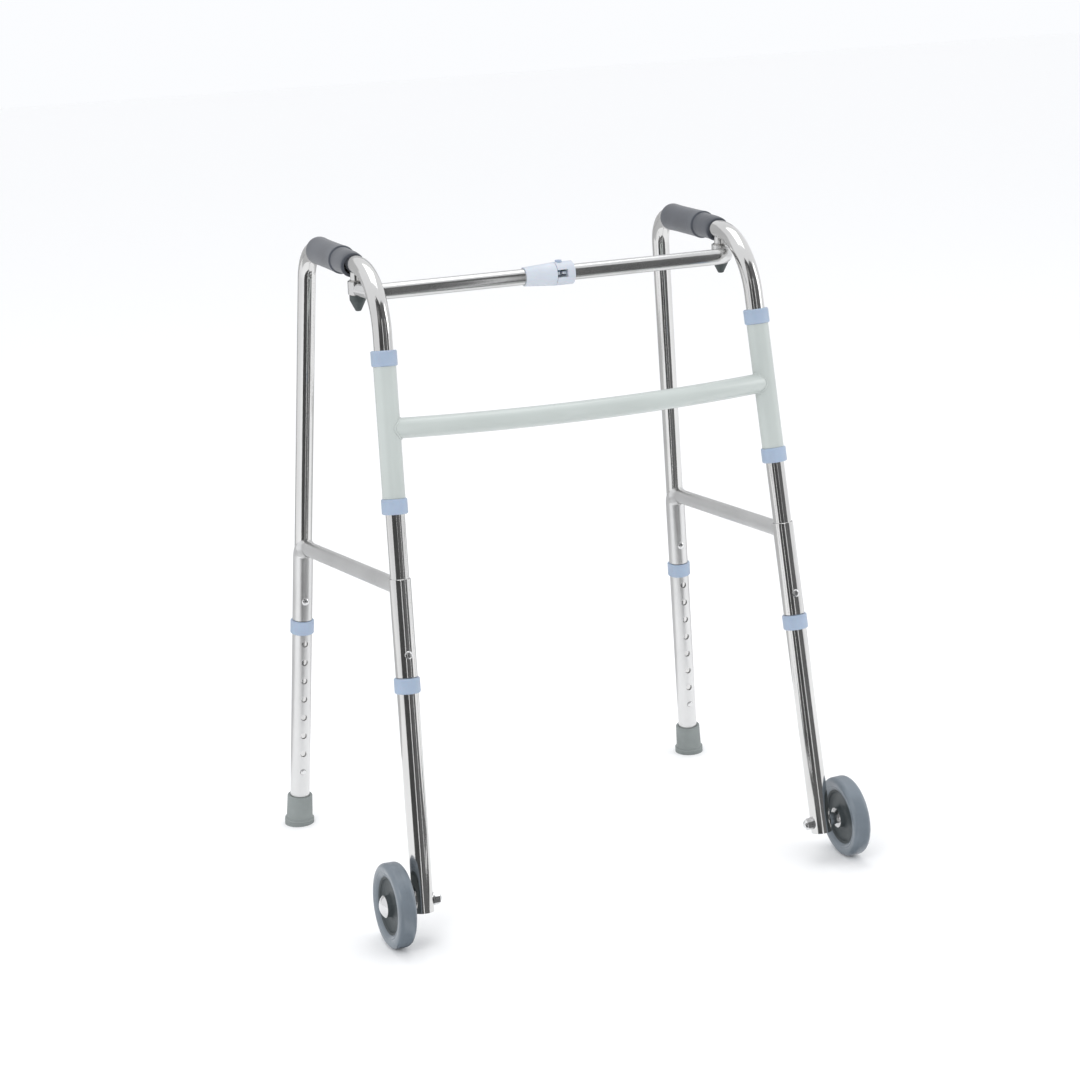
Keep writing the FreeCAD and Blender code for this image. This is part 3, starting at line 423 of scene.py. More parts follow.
class Wardrobe:
    """Makes each finish once and puts it on pieces."""

    def __init__(self) -> None:
        """Starts with no material made."""
        self.made: dict[str, bpy.types.Material] = {}

    def of(self, finish: Finish) -> bpy.types.Material:
        """The material of a finish.

        Args:
            finish: which finish.

        Returns:
            The material, made on first use.
        """
        if finish.value.name not in self.made:
            self.made[finish.value.name] = finish.value.make()
        return self.made[finish.value.name]

    def dress(self, piece: bpy.types.Object, finish: Finish) -> None:
        """Gives a piece one finish.

        Args:
            piece: the object.
            finish: which finish.
        """
        piece.data.materials.clear()
        piece.data.materials.append(self.of(finish))

    def dress_cad(self) -> None:
        """Gives every CAD node the finish that its record entry names."""
        for entry in frame["record"]["subparts"]:
            node = frame["nodes"][entry["node"]]
            self.dress(node, Finish[entry["material_slot"].upper()])
            log.info("%s wears %s", node.name, entry["material_slot"])


# ---------------------------------------------------------------- mesh work
def turn_to(axis: Vector, start: Vector) -> Matrix:
    """The placement at start whose z axis points along an axis."""
    return Matrix.Translation(start) @ axis.to_track_quat("Z", "Y").to_matrix().to_4x4()


def turned(profile: list[tuple[float, float]], steps: int = 96, closed: bool = True) -> bmesh.types.BMesh:
    """A solid of revolution about z.

    Args:
        profile: pairs of radius and height, in metres.
        steps: divisions round the turn.
        closed: whether the profile's last point joins its first.

    Returns:
        The bmesh.
    """
    mesh = bmesh.new()
    points = [mesh.verts.new((radius, 0.0, height)) for radius, height in profile]
    ends = points[1:] + points[:1] if closed else points[1:]
    edges = [mesh.edges.new(pair) for pair in zip(points, ends)]
    bmesh.ops.spin(mesh, geom=points + edges, axis=(0, 0, 1), cent=(0, 0, 0), angle=2 * math.pi,
                   steps=steps, use_merge=True)
    bmesh.ops.remove_doubles(mesh, verts=mesh.verts, dist=SEAM)
    bmesh.ops.recalc_face_normals(mesh, faces=mesh.faces)
    return mesh


def arc(centre: tuple[float, float], radius: float, start: float, end: float,
        steps: int = 6) -> list[tuple[float, float]]:
    """Points of an arc in the profile plane.

    Args:
        centre: the arc's middle, as radius and height.
        radius: the arc's radius.
        start: first angle, in degrees from the radius axis.
        end: last angle.
        steps: divisions.

    Returns:
        The points, ends included.
    """
    angles = [math.radians(start + (end - start) * n / steps) for n in range(steps + 1)]
    return [(centre[0] + radius * math.cos(a), centre[1] + radius * math.sin(a)) for a in angles]


def hung(name: str, data: bpy.types.ID) -> bpy.types.Object:
    """A new object in the scene.

    Args:
        name: its name.
        data: its mesh, light or camera.

    Returns:
        The object, at the origin.
    """
    piece = bpy.data.objects.new(name, data)
    bpy.context.scene.collection.objects.link(piece)
    return piece


def finished(mesh: bmesh.types.BMesh, name: str, place: Matrix, crease: float = 35.0) -> bpy.types.Object:
    """Turns a bmesh into an object whose place is in its mesh.

    Args:
        mesh: the bmesh, which is freed.
        name: the object's name.
        place: where it goes in the walker's frame.
        crease: edges sharper than this, in degrees, stay sharp.

    Returns:
        The object, at the origin.
    """
    mesh.transform(place)
    data = bpy.data.meshes.new(name)
    mesh.to_mesh(data)
    mesh.free()
    if "custom_normal" in data.attributes:
        data.attributes.remove(data.attributes["custom_normal"])
    data.shade_smooth()
    data.set_sharp_from_angle(angle=math.radians(crease))
    return hung(name, data)


def bead(name: str, points: list[Vector], radius: float) -> bpy.types.Object:
    """A closed weld bead through points.

    Args:
        name: the object's name.
        points: the bead's line, in the walker's frame.
        radius: the bead's radius.

    Returns:
        The object, at the origin.
    """
    line = bpy.data.curves.new(name, "CURVE")
    line.dimensions = "3D"
    line.bevel_depth = radius
    line.bevel_resolution = 3
    spline = line.splines.new("POLY")
    spline.points.add(len(points) - 1)
    for spot, point in zip(spline.points, points):
        spot.co = (*point, 1.0)
    ripple, ripple_pace, swell, swell_pace = 0.10, 2.4, 0.06, 0.9
    for number, spot in enumerate(spline.points):
        spot.radius = 1.0 + ripple * math.sin(number * ripple_pace) + swell * math.sin(number * swell_pace)
    spline.use_cyclic_u = True
    holder = bpy.data.objects.new(name, line)
    data = bpy.data.meshes.new_from_object(holder)
    data.name = name
    bpy.data.objects.remove(holder)
    bpy.data.curves.remove(line)
    data.shade_smooth()
    return hung(name, data)


def saddle(axis_spot: Vector, axis: Vector, radius: float, tube_spot: Vector, tube_axis: Vector,
           tube_radius: float, steps: int = 48) -> list[Vector]:
    """The line where a tube's end meets the outside of another tube.

    Args:
        axis_spot: a point on the main tube's axis.
        axis: the main tube's axis.
        radius: the main tube's radius.
        tube_spot: a point on the joining tube's axis, outside the main tube.
        tube_axis: the joining tube's axis, pointing at the main tube.
        tube_radius: the joining tube's radius.
        steps: points round the line.

    Returns:
        The points.
    """
    across = tube_axis.orthogonal().normalized()
    up = tube_axis.cross(across).normalized()
    points = []
    for number in range(steps):
        angle = 2 * math.pi * number / steps
        start = tube_spot + (across * math.cos(angle) + up * math.sin(angle)) * tube_radius
        flat = (start - axis_spot) - axis * (start - axis_spot).dot(axis)
        way = tube_axis - axis * tube_axis.dot(axis)
        half, square = flat.dot(way), way.dot(way)
        root = max(0.0, half * half - square * (flat.dot(flat) - radius * radius))
        points.append(start + tube_axis * ((-half - math.sqrt(root)) / square))
    return points


def axis_of(node: str, along: Vector, share: float = 0.01) -> tuple[Vector, Vector]:
    """The end centres of a long round node.

    Args:
        node: the CAD node's name.
        along: roughly the way that it runs.
        share: how much of its reach counts as an end.

    Returns:
        The centres of its two ends, in order along that way.
    """
    spots = [vertex.co for vertex in frame["nodes"][node].data.vertices]
    reach = sorted(spot.dot(along) for spot in spots)
    low, high = reach[0], reach[-1]
    near = (high - low) * share
    first = [spot for spot in spots if spot.dot(along) < low + near]
    last = [spot for spot in spots if spot.dot(along) > high - near]
    return sum(first, Vector()) / len(first), sum(last, Vector()) / len(last)


@dataclass
class SubAssembly:
    """What every sub-assembly of new pieces shares."""

    side: Side
    wardrobe: Wardrobe

    def place_piece(self, piece: bpy.types.Object, finish: Finish, body: str, *nodes: str) -> None:
        """Dresses a piece and hangs it on its body.

        Args:
            piece: the object.
            finish: its finish.
            body: the body that it rides on.
            *nodes: the CAD nodes that it stands for.
        """
        self.wardrobe.dress(piece, finish)
        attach(piece, body)
        if nodes:
            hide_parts(*nodes)
        log.info("%s rides on %s", piece.name, body)


@dataclass
class Grip(SubAssembly):
    """A foam grip pushed over the handle, its narrower nose bent with the tube."""

    bore: float = 11.2 * MM
    radius: float = 16.6 * MM
    bulge: float = 0.5 * MM
    nose_radius: float = 14.9 * MM
    nose_long: float = 24.0 * MM
    bent_long: float = 16.0 * MM
    bend: float = 82.0 * MM
    end_round: float = 4.2 * MM
    end_room: float = 1.3
    nose_round: float = 2.0 * MM
    nose_shares: tuple[float, ...] = (0.15, 0.3, 0.45, 0.6, 0.75, 0.9)
    shoulder_round: float = 2.2 * MM
    shoulder_long: float = 3.0 * MM
    barrel_steps: int = 32

    def outline(self, long: float) -> list[tuple[float, float]]:
        """The grip's profile.

        Args:
            long: the length of the CAD grip.

        Returns:
            Pairs of radius and height from the tip of the nose, at minus the bent length.
        """
        rounding, outer = self.end_round, self.radius + self.bulge
        tip, nose, shoulder = -self.bent_long, self.nose_round, self.shoulder_round
        points = [(self.bore, tip)]
        points += arc((self.nose_radius - nose, tip + nose), nose, -90.0, -8.0)
        points += [(self.nose_radius, tip + (self.nose_long - tip) * share) for share in self.nose_shares]
        points += arc((outer - shoulder, self.nose_long + shoulder), shoulder, -80.0, -6.0)
        start, end = self.nose_long + self.shoulder_long, long - rounding * self.end_room
        for number in range(self.barrel_steps + 1):
            share = number / self.barrel_steps
            points.append((self.radius + self.bulge * (2 * share - 1) ** 4, start + (end - start) * share))
        points += arc((outer - rounding, long - rounding), rounding, 8.0, 90.0)
        points.append((self.bore, long))
        return points

    def build(self) -> None:
        """Builds the grip in place of its plain CAD tube."""
        front, back = axis_of(self.side.node("grip"), Vector((0, 1, 0)))
        way = (back - front).normalized()
        across = Vector(self.side.joint("wheel_spin")["axis"]).cross(way)
        rise = across.normalized() * (1.0 if across.z > 0 else -1.0)
        turn = Matrix((rise.cross(way), rise, way)).transposed().to_4x4()
        mesh = turned(self.outline((back - front).length))
        for vertex in mesh.verts:
            if vertex.co.z < 0:
                lean = -vertex.co.z / self.bend
                reach = self.bend + vertex.co.y
                vertex.co.y = reach * math.cos(lean) - self.bend
                vertex.co.z = -reach * math.sin(lean)
        piece = finished(mesh, self.side.node("foam_grip"), Matrix.Translation(front) @ turn, crease=60.0)
        self.place_piece(piece, Finish.FOAM_GRIP, self.side.node("side"), self.side.node("grip"))


@dataclass
class Wheel(SubAssembly):
    """Moulded tyre on a dished plastic core.

    The steps are pairs in millimetres: outwards from the seat or the rim, and inwards from the tyre's side.
    """

    radius: float = 50.0 * MM
    half_wide: float = 11.0 * MM
    shoulder: float = 6.0 * MM
    seat: float = 34.2 * MM
    hub: float = 12.5 * MM
    bush: float = 6.5 * MM
    hub_proud: float = 1.5 * MM
    hub_edge: float = 1.0 * MM
    wall_steps: tuple[tuple[float, float], ...] = (
        (0.0, 3.4), (0.5, 2.6), (3.4, 0.9), (4.4, 0.5), (5.2, 0.9), (6.0, 0.4), (8.0, 0.1))
    crown_shares: tuple[float, ...] = (0.40, 0.20)
    groove_half: float = 0.05 * MM
    groove_deep: float = 0.12 * MM
    seat_gap: float = 0.05 * MM
    rim_wall: float = 1.8 * MM
    dish: float = 7.4 * MM
    dish_round: float = 4.6 * MM
    hub_room: float = 4.8 * MM
    rim_room: float = 5.0 * MM
    lip_steps: tuple[tuple[float, float], ...] = ((0.2, 4.4), (1.0, 3.4))
    lip: float = 3.3 * MM
    tyre_steps: int = 160
    core_steps: int = 128

    def tyre_outline(self) -> list[tuple[float, float]]:
        """The tyre's profile: crowned tread, round shoulders and a stepped side wall."""
        half, shoulder, outer = self.half_wide, self.shoulder, self.radius
        side = [(self.seat + out * MM, half - down * MM) for out, down in self.wall_steps]
        side += arc((outer - shoulder, half - shoulder), shoulder, 88.0, 6.0, steps=12)
        crown = [(outer, half * share) for share in self.crown_shares]
        upper = side + crown + [(outer, self.groove_half), (outer - self.groove_deep, 0.0)]
        lower = [(across, -up) for across, up in reversed(upper[:-1])]
        return upper + lower

    def core_outline(self) -> list[tuple[float, float]]:
        """The core's profile: rim, dished web and hub boss."""
        half, seat = self.half_wide, self.seat - self.seat_gap
        rim, proud, edge = seat - self.rim_wall, half + self.hub_proud, self.hub_edge
        outer_face = [(self.bush, proud), (self.hub - edge, proud), (self.hub, proud - edge)]
        outer_face += arc((self.hub + self.hub_room, self.dish), self.dish_round, 190.0, 265.0)
        outer_face += arc((rim - self.rim_room, self.dish), self.dish_round, 275.0, 350.0)
        outer_face += [(rim + out * MM, half - down * MM) for out, down in self.lip_steps]
        outer_face.append((seat, half - self.lip))
        inner_face = [(across, -up) for across, up in reversed(outer_face)]
        return outer_face + inner_face

    def build(self) -> None:
        """Builds the tyre and the core in place of their CAD solids."""
        spin = self.side.joint("wheel_spin")
        place = turn_to(Vector(spin["axis"]) * self.side.out, Vector(spin["pos_m"]))
        body = self.side.node("wheel")
        tyre = finished(turned(self.tyre_outline(), self.tyre_steps), self.side.node("moulded_tyre"), place,
                        crease=50.0)
        self.place_piece(tyre, Finish.GREY_TYRE, body, self.side.node("tyre"))
        core = finished(turned(self.core_outline(), self.core_steps), self.side.node("dished_core"), place,
                        crease=40.0)
        self.place_piece(core, Finish.WHEEL_PLASTIC, body, self.side.node("wheel_core"))


@dataclass
class Foot(SubAssembly):
    """Rubber ferrule on the rear leg.

    The groove and the neck are pairs in millimetres: inwards from the base's side, and up from a ring or the
    band.
    """

    bore: float = 12.8 * MM
    top: float = 16.4 * MM
    low: float = 19.2 * MM
    tall: float = 40.0 * MM
    sole: float = 10.0 * MM
    band: float = 7.0 * MM
    rings: tuple[float, ...] = (2.2 * MM, 4.6 * MM)
    groove: tuple[tuple[float, float], ...] = ((0.0, 0.0), (0.5, 0.4), (0.5, 0.9), (0.0, 1.3))
    neck: tuple[tuple[float, float], ...] = ((1.9, 1.5), (2.2, 4.0))
    base_round: float = 1.2 * MM
    base_drop: float = 0.2 * MM
    top_round: float = 1.6 * MM
    mouth_wide: float = 0.5 * MM
    mouth_deep: float = 0.6 * MM

    def outline(self) -> list[tuple[float, float]]:
        """The ferrule's profile: flared base with two grip rings, then a tapered socket."""
        tall, base, soft = self.tall, -self.sole, self.top_round
        points = [(0.0, self.sole), (0.0, base), (self.low, base), (self.low, 0.0)]
        for ring in self.rings:
            points += [(self.low - inwards * MM, ring + up * MM) for inwards, up in self.groove]
        points += arc((self.low - self.base_round, self.band - self.base_drop), self.base_round, 0.0, 75.0,
                      steps=5)
        points += [(self.low - inwards * MM, self.band + up * MM) for inwards, up in self.neck]
        points += arc((self.top - soft, tall - soft), soft, 5.0, 90.0)
        points += [(self.bore + self.mouth_wide, tall), (self.bore, tall - self.mouth_deep)]
        points.append((self.bore, self.sole))
        return points

    def build(self) -> None:
        """Builds the ferrule, cut flat by the floor, in place of its CAD solid."""
        slide = self.side.joint("rear_height")
        up = -Vector(slide["axis"])
        mount = next(m for m in frame["record"]["mounts"] if m["name"] == self.side.node("rear_foot_floor"))
        mesh = turned(self.outline())
        mesh.transform(turn_to(up, Vector(mount["pos_m"])))
        cut = bmesh.ops.bisect_plane(mesh, geom=mesh.verts[:] + mesh.edges[:] + mesh.faces[:], dist=SEAM,
                                     plane_co=(0, 0, 0), plane_no=(0, 0, -1), clear_outer=True)
        rim = [item for item in cut["geom_cut"] if isinstance(item, bmesh.types.BMEdge)]
        bmesh.ops.holes_fill(mesh, edges=rim, sides=0)
        bmesh.ops.recalc_face_normals(mesh, faces=mesh.faces)
        piece = finished(mesh, self.side.node("rubber_ferrule"), Matrix.Identity(4), crease=40.0)
        body = self.side.node("rear_extension")
        self.place_piece(piece, Finish.GREY_RUBBER, body, self.side.node("rear_foot"))


@dataclass
class SideJoinery(SubAssembly):
    """The brace's elbow, the leg sleeves and the weld beads of one side."""

    sleeve_radius: float = 13.35 * MM
    crossbar_radius: float = 11.9 * MM
    brace_radius: float = 9.5 * MM
    leg_sleeve_radius: float = 12.75 * MM
    sleeve_wall: float = 1.2 * MM
    elbow_bend: float = 12.4 * MM
    flare_share: float = 0.06
    flare_long: float = 14.0 * MM
    flare_inside: float = 1.0 * MM
    flare_proud: float = 0.05 * MM
    flare_shares: tuple[float, ...] = (0.2, 0.4, 0.6, 0.8, 1.0)
    flare_steps: int = 72
    inset: float = 0.1 * MM
    overlap: float = 0.3 * MM
    rim_soft: float = 0.4 * MM
    arc_steps: int = 48
    sweep_steps: int = 24
    elbow_seam: float = 1e-6
    bead_radius: float = 1.0 * MM
    crossbar_bead: float = 1.3
    weld_reach_mm: float = 60.0

    def __post_init__(self) -> None:
        """Finds the axes of the legs and the brace."""
        fold, slide = self.side.joint("fold"), self.side.joint("rear_height")
        mount = next(m for m in frame["record"]["mounts"] if m["name"] == self.side.node("rear_foot_floor"))
        self.front_spot, self.front_up = Vector(fold["pos_m"]), Vector(fold["axis"]).normalized()
        if self.front_up.z < 0:
            self.front_up = -self.front_up
        self.rear_spot, self.rear_up = Vector(mount["pos_m"]), -Vector(slide["axis"]).normalized()
        if self.rear_up.z < 0:
            self.rear_up = -self.rear_up
        first, last = axis_of(self.side.node("brace"), Vector((0, 1, 0)))
        self.corner = geometry.intersect_line_line(
            self.rear_spot, self.rear_spot + self.rear_up, first, last)[0]
        self.front_corner = geometry.intersect_line_line(
            self.front_spot, self.front_spot + self.front_up, first, last)[0]
        self.forward = (self.front_corner - self.corner).normalized()

    def span_on(self, node: str, spot: Vector, up: Vector, rear: bool) -> tuple[float, float]:
        """How far a node reaches along a leg.

        Args:
            node: the CAD node.
            spot: a point on the leg's axis.
            up: the leg's axis.
            rear: whether to read the rear or the front half of the node.

        Returns:
            The lowest and highest distance from the spot.
        """
        found = [(v.co - spot).dot(up) for v in frame["nodes"][node].data.vertices if (v.co.y > 0) == rear]
        return min(found), max(found)

    def sleeve(self, name: str, spot: Vector, up: Vector, low: float, high: float) -> bpy.types.Object:
        """A plain sleeve with softened rims round a leg.

        Args:
            name: the piece's name.
            spot: a point on the leg's axis.
            up: the leg's axis.
            low: where it starts along the axis.
            high: where it ends.

        Returns:
            The object.
        """
        outer, soft = self.leg_sleeve_radius, self.rim_soft
        inner = outer - self.sleeve_wall
        profile = [(inner, low), (outer - soft, low), (outer, low + soft), (outer, high - soft),
                   (outer - soft, high), (inner, high)]
        return finished(turned(profile), self.side.node(name), turn_to(up, spot))

    def elbow(self) -> tuple[bpy.types.Object, float]:
        """The rear end of the brace, bent down into the rear sleeve.

        Returns:
            The object, and how far below the brace's axis it ends.
        """
        down, ahead = -self.rear_up, self.forward
        half = ahead.angle(down) / 2
        tangent = self.elbow_bend / math.tan(half)
        middle = self.corner + (ahead + down).normalized() * (self.elbow_bend / math.sin(half))
        normal = ahead.cross(down).normalized()
        start = (self.corner + ahead * tangent - middle).normalized()
        sweep = math.pi - 2 * half
        radius = self.leg_sleeve_radius - self.inset
        opening = math.acos(-self.elbow_bend / radius)
        mesh = bmesh.new()
        points = []
        for number in range(self.arc_steps + 1):
            angle = -opening + 2 * opening * number / self.arc_steps
            out = start * (self.elbow_bend + radius * math.cos(angle))
            points.append(mesh.verts.new(middle + out + normal * radius * math.sin(angle)))
        edges = [mesh.edges.new(pair) for pair in zip(points, points[1:])]
        turn = 1.0 if start.cross((self.corner + down * tangent - middle)).dot(normal) > 0 else -1.0
        bmesh.ops.spin(mesh, geom=points + edges, axis=normal, cent=middle, angle=sweep * turn,
                       steps=self.sweep_steps)
        bmesh.ops.remove_doubles(mesh, verts=mesh.verts, dist=self.elbow_seam)
        share_of = self.brace_radius / radius
        for vertex in mesh.verts:
            spoke = vertex.co - middle
            spoke -= normal * spoke.dot(normal)
            if spoke.length < self.elbow_seam:
                continue
            share = spoke.angle(start) / sweep
            scale = share_of + (1 - share_of) * min(1.0, share / self.flare_share)
            centre = middle + spoke.normalized() * self.elbow_bend
            vertex.co = centre + (vertex.co - centre) * scale
        rim = [edge for edge in mesh.edges if edge.is_boundary]
        bmesh.ops.holes_fill(mesh, edges=rim, sides=0)
        bmesh.ops.triangulate(mesh, faces=[face for face in mesh.faces if len(face.verts) > 4])
        bmesh.ops.recalc_face_normals(mesh, faces=mesh.faces)
        return finished(mesh, self.side.node("brace_elbow"), Matrix.Identity(4), crease=50.0), tangent

    def brace_joints(self) -> None:
        """The elbow, both sleeves and the front weld of the brace."""
        body, node = self.side.node("side"), self.side.node("leg_sleeves")
        elbow, tangent = self.elbow()
        self.place_piece(elbow, Finish.SATIN_TUBE, body)
        thick, thin = self.leg_sleeve_radius - self.inset, self.brace_radius + self.flare_proud
        inside = thin - self.flare_inside
        profile = [(inside, 0.0), (thick, 0.0)]
        profile += [(thin + (thick - thin) * (1 - share) ** 2, self.flare_long * share)
                    for share in self.flare_shares]
        profile.append((inside, self.flare_long))
        flare = finished(turned(profile, self.flare_steps), self.side.node("brace_flare"),
                         turn_to(self.forward, self.corner + self.forward * tangent))
        self.place_piece(flare, Finish.SATIN_TUBE, body)
        low, _ = self.span_on(node, self.rear_spot, self.rear_up, True)
        high = (self.corner - self.rear_spot).dot(self.rear_up) - tangent + self.overlap
        rear = self.sleeve("rear_sleeve", self.rear_spot, self.rear_up, low, high)
        self.place_piece(rear, Finish.SATIN_TUBE, body, node)
        low, high = self.span_on(node, self.front_spot, self.front_up, False)
        front = self.sleeve("front_sleeve", self.front_spot, self.front_up, low, high)
        self.place_piece(front, Finish.POLISHED_TUBE, body)
        line = saddle(self.front_spot, self.front_up, self.leg_sleeve_radius,
                      self.front_corner - self.forward * self.weld_reach_mm * MM, self.forward,
                      self.brace_radius)
        weld = bead(self.side.node("brace_weld"), line, self.bead_radius)
        self.place_piece(weld, Finish.SATIN_TUBE, body)

    def crossbar_weld(self) -> None:
        """The bead between the crossbar and its hinge sleeve."""
        tip = axis_of("crossbar", Vector((self.side.out, 0, 0)))[1]
        target = self.front_spot + self.front_up * (tip - self.front_spot).dot(self.front_up)
        low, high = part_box("crossbar")
        bow = (high.y - low.y) - 2 * self.crossbar_radius
        lean = 2 * math.atan2(bow, abs(target.x))
        way = Vector((self.side.out * math.cos(lean), math.sin(lean), 0.0))
        line = saddle(self.front_spot, self.front_up, self.sleeve_radius,
                      target - way * self.weld_reach_mm * MM, way, self.crossbar_radius)
        weld = bead(self.side.node("crossbar_weld"), line, self.bead_radius * self.crossbar_bead)
        self.place_piece(weld, Finish.HINGE_PAINT, "front_frame")

    def build(self) -> None:
        """Builds everything that joins this side's tubes."""
        self.brace_joints()
        self.crossbar_weld()


@dataclass
class SmoothTubes:
    """Merged, smooth-shaded skins of the CAD nodes that shine."""

    wardrobe: Wardrobe
    crease: float = 32.0
    seam: float = 2e-6
    plain: tuple[str, ...] = ("crossbar", "left_bar", "right_bar", "latch_housing", "latch_collar",
                              "latch_button")
    paired: tuple[str, ...] = ("side_tube", "brace", "front_leg", "rear_leg", "hinge_sleeve", "hinge_collars",
                               "front_collar", "rear_collar", "bar_bracket", "cap_nut", "axle_bolt",
                               "axle_nut", "axle_spacer", "sleeve_rivets", "front_button", "rear_button")

    def finish_of(self, node: str, slot: str) -> Finish:
        """The finish of a node's skin.

        Args:
            node: the CAD node.
            slot: its slot in the record.

        Returns:
            The finish.
        """
        if node.endswith("_bar"):
            return Finish.SATIN_BAR
        if node.endswith("_brace"):
            return Finish.SATIN_TUBE
        if node.endswith("axle_spacer"):
            return Finish.BRIGHT_METAL
        return Finish[slot.upper()]

    def build(self) -> None:
        """Builds every skin and hangs it where its node hangs."""
        slots = {entry["node"]: entry["material_slot"] for entry in frame["record"]["subparts"]}
        names = list(self.plain) + [side.node(name) for side in Side for name in self.paired]
        bodies = frame["record"]["behaviour"]["bodies"]
        for node in names:
            mesh = bmesh.new()
            mesh.from_mesh(frame["nodes"][node].data)
            bmesh.ops.remove_doubles(mesh, verts=mesh.verts, dist=self.seam)
            skin = finished(mesh, node + "_skin", Matrix.Identity(4), self.crease)
            finish = self.finish_of(node, slots[node])
            self.wardrobe.dress(skin, finish)
            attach(skin, next(body for body, members in bodies.items() if node in members))
            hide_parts(node)
            log.info("%s stands for %s", skin.name, node)


def ray_at(bearing: float) -> Vector:
    """The level direction at a bearing, in degrees from +X towards +Y."""
    return Vector((math.cos(math.radians(bearing)), math.sin(math.radians(bearing)), 0.0))


@dataclass(frozen=True)
class Lamp:
    """A soft rectangular light, with its width and height, and its power in watts."""

    name: str
    spot: tuple[float, float, float]
    size: tuple[float, float]
    power: float


@dataclass(frozen=True)
class Fan:
    """A dull flag between two bearings from a front leg."""

    name: str
    start: float
    end: float
    shade: float


@dataclass
class Studio:
    """Pale floor, soft lights, the flags that only glossy surfaces see, and the camera.

    Bearings are in degrees from +X towards +Y, and a shade is a grey from 0 to 1.
    """

    azimuth: float = -21.80
    elevation: float = 15.205
    roll: float = -2.288
    distance: float = 3.0010
    lens: float = 81.15
    sensor: float = 36.0
    clip: tuple[float, float] = (0.1, 60.0)
    target: tuple[float, float, float] = (-0.02232, -0.00924, 0.40681)
    lamp_target: tuple[float, float, float] = (0.0, 0.0, 0.4)
    lamps: tuple[Lamp, ...] = (Lamp("key", (-2.4, -2.2, 2.6), (1.4, 1.4), 26.0),
                               Lamp("fill", (2.8, -1.4, 1.8), (1.0, 1.8), 12.0),
                               Lamp("top", (0.2, 0.6, 3.2), (2.0, 2.0), 16.0))
    leg_inboard: float = 0.035
    flag_lift: float = 2 * MM
    fans: tuple[Fan, ...] = (Fan("flag_near", 206.0, 254.0, 0.075), Fan("flag_far", 270.0, 318.0, 0.14))
    fan_start: float = 0.02
    fan_reach: float = 1.3
    fan_tall: float = 2.4
    strip_bearing: float = 262.0
    strip_start: float = 0.03
    strip_away: float = 0.55
    strip_wide: float = 0.07
    strip_taper: float = 0.05
    strip_lift: float = 3 * MM
    strip_tall: float = 1.1
    strip_shade: float = 0.95
    back_half: float = 1.6
    back_near: float = 0.42
    back_far: float = 1.8
    back_tall: float = 1.6
    back_floor_shade: float = 0.55
    back_wall_shade: float = 0.50
    floor_half: float = 12.0
    floor_shade: float = 0.985
    floor_rough: float = 0.75
    sky: tuple[float, float, float] = (0.97, 0.98, 1.0)
    sky_strength: float = 1.0

    def camera(self) -> None:
        """Stands the camera in front of the walker, to its user's right."""
        azimuth, elevation = math.radians(self.azimuth), math.radians(self.elevation)
        back = Vector((math.sin(azimuth) * math.cos(elevation), -math.cos(azimuth) * math.cos(elevation),
                       math.sin(elevation)))
        data = bpy.data.cameras.new("camera")
        data.lens, data.sensor_width, data.sensor_height = self.lens, self.sensor, self.sensor
        data.clip_start, data.clip_end = self.clip
        camera = hung("camera", data)
        turn = (-back).to_track_quat("-Z", "Y").to_matrix().to_4x4()
        camera.matrix_world = (Matrix.Translation(Vector(self.target) + back * self.distance) @ turn
                               @ Matrix.Rotation(math.radians(self.roll), 4, "Z"))
        bpy.context.scene.camera = camera

    def lamp(self, lamp: Lamp) -> None:
        """Hangs a lamp and aims it at the walker.

        Args:
            lamp: the lamp.
        """
        data = bpy.data.lights.new(lamp.name, "AREA")
        data.shape, data.size, data.size_y, data.energy = "RECTANGLE", *lamp.size, lamp.power
        spot = Vector(lamp.spot)
        aim = (Vector(self.lamp_target) - spot).to_track_quat("-Z", "Y").to_matrix().to_4x4()
        hung(lamp.name, data).matrix_world = Matrix.Translation(spot) @ aim

    def sheet(self, name: str, mesh: bmesh.types.BMesh, shade: float, **surface: float) -> bpy.types.Object:
        """A plain grey sheet.

        Args:
            name: the sheet's name.
            mesh: its bmesh, which is freed.
            shade: its grey.
            **surface: values of its shader.

        Returns:
            The object.
        """
        data = bpy.data.meshes.new(name)
        mesh.to_mesh(data)
        mesh.free()
        nodes = Nodes(name)
        nodes.set(**surface)
        nodes.shader.inputs["Base Color"].default_value = (shade, shade, shade, 1.0)
        data.materials.append(nodes.material)
        return hung(name, data)

    def flag(self, name: str, corners: list[Vector], shade: float) -> None:
        """A dull sheet that only glossy surfaces see.

        Args:
            name: the sheet's name.
            corners: its corners, in order.
            shade: its grey.
        """
        mesh = bmesh.new()
        mesh.faces.new([mesh.verts.new(corner) for corner in corners])
        flag = self.sheet(name, mesh, shade, Roughness=1.0, Specular_IOR_Level=0.0)
        flag.visible_camera = flag.visible_diffuse = flag.visible_shadow = False

    def fan(self, fan: Fan, side: Side, foot: Vector) -> None:
        """A floor flag that fans out from a leg, with a wall at its far end.

        Args:
            fan: its name, bearings and shade.
            side: the leg's side.
            foot: the leg's place on the floor.
        """
        rays = [ray_at(bearing) for bearing in (fan.start, fan.end)]
        lift, tall = Vector((0, 0, self.flag_lift)), Vector((0, 0, self.fan_tall))
        near = [foot + ray * self.fan_start + lift for ray in rays]
        edge = [foot + ray * self.fan_reach + lift for ray in rays]
        name = side.node(fan.name)
        self.flag(name + "_floor", [near[0], edge[0], edge[1], near[1]], fan.shade)
        self.flag(name + "_wall", [edge[0], edge[1], edge[1] + tall, edge[0] + tall], fan.shade)

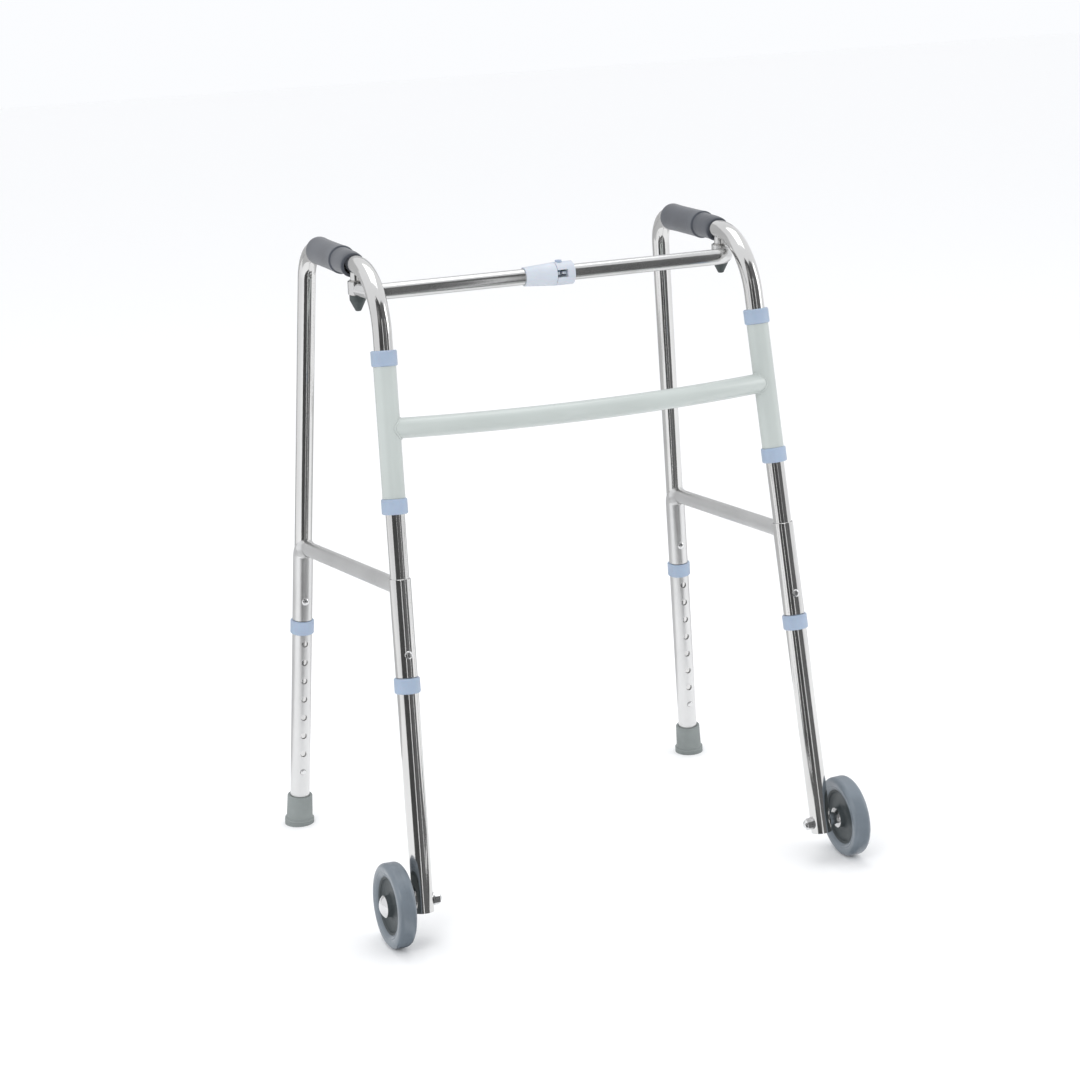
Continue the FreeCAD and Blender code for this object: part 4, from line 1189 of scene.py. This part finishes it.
    def strip(self, side: Side, foot: Vector) -> None:
        """A narrow white flag that draws a bright line down a tube.

        Args:
            side: the leg's side.
            foot: the leg's place on the floor.
        """
        ray = ray_at(self.strip_bearing)
        across = Vector((-ray.y, ray.x, 0.0)) * self.strip_wide / 2
        lift, tall = Vector((0, 0, self.strip_lift)), Vector((0, 0, self.strip_tall))
        middle, near = foot + ray * self.strip_away, foot + ray * self.strip_start + lift
        tip, name = across * self.strip_taper, side.node("flag_strip")
        self.flag(name + "_wall", [middle - across, middle + across, middle + across + tall,
                                   middle - across + tall], self.strip_shade)
        self.flag(name + "_floor", [near - tip, middle - across + lift, middle + across + lift, near + tip],
                  self.strip_shade)

    def backdrop(self) -> None:
        """The flags behind the walker, one on the floor and one standing."""
        half, near, far, tall = self.back_half, self.back_near, self.back_far, self.back_tall
        ground = ((-half, near), (half, near), (half, far), (-half, far))
        self.flag("flag_back_floor", [Vector((x, y, self.flag_lift)) for x, y in ground],
                  self.back_floor_shade)
        upright = ((-half, 0.0), (half, 0.0), (half, tall), (-half, tall))
        self.flag("flag_back_wall", [Vector((x, far, z)) for x, z in upright], self.back_wall_shade)

    def floor(self) -> None:
        """The pale floor."""
        mesh = bmesh.new()
        bmesh.ops.create_grid(mesh, x_segments=1, y_segments=1, size=self.floor_half)
        self.sheet("floor", mesh, self.floor_shade, Roughness=self.floor_rough)

    def world(self) -> None:
        """Even pale surroundings."""
        world = bpy.data.worlds.new("studio")
        world.use_nodes = True
        back = world.node_tree.nodes["Background"]
        back.inputs["Color"].default_value = (*self.sky, 1.0)
        back.inputs["Strength"].default_value = self.sky_strength
        bpy.context.scene.world = world

    def build(self) -> None:
        """Sets up the whole studio."""
        bpy.context.scene.view_settings.view_transform = "Standard"
        self.world()
        self.floor()
        for lamp in self.lamps:
            self.lamp(lamp)
        for side in Side:
            foot = Vector(side.joint("wheel_spin")["pos_m"]) - Vector((side.out * self.leg_inboard, 0, 0))
            foot.z = 0.0
            for fan in self.fans:
                self.fan(fan, side, foot)
            self.strip(side, foot)
        self.backdrop()
        self.camera()


def main() -> None:
    """Builds the walker's looks and the studio, in order."""
    logging.basicConfig(level=logging.INFO, format="%(name)s: %(message)s")
    wardrobe = Wardrobe()
    wardrobe.dress_cad()
    SmoothTubes(wardrobe).build()
    for side in Side:
        Grip(side, wardrobe).build()
        Wheel(side, wardrobe).build()
        Foot(side, wardrobe).build()
        SideJoinery(side, wardrobe).build()
    Studio().build()


if __name__ == "__main__":
    main()
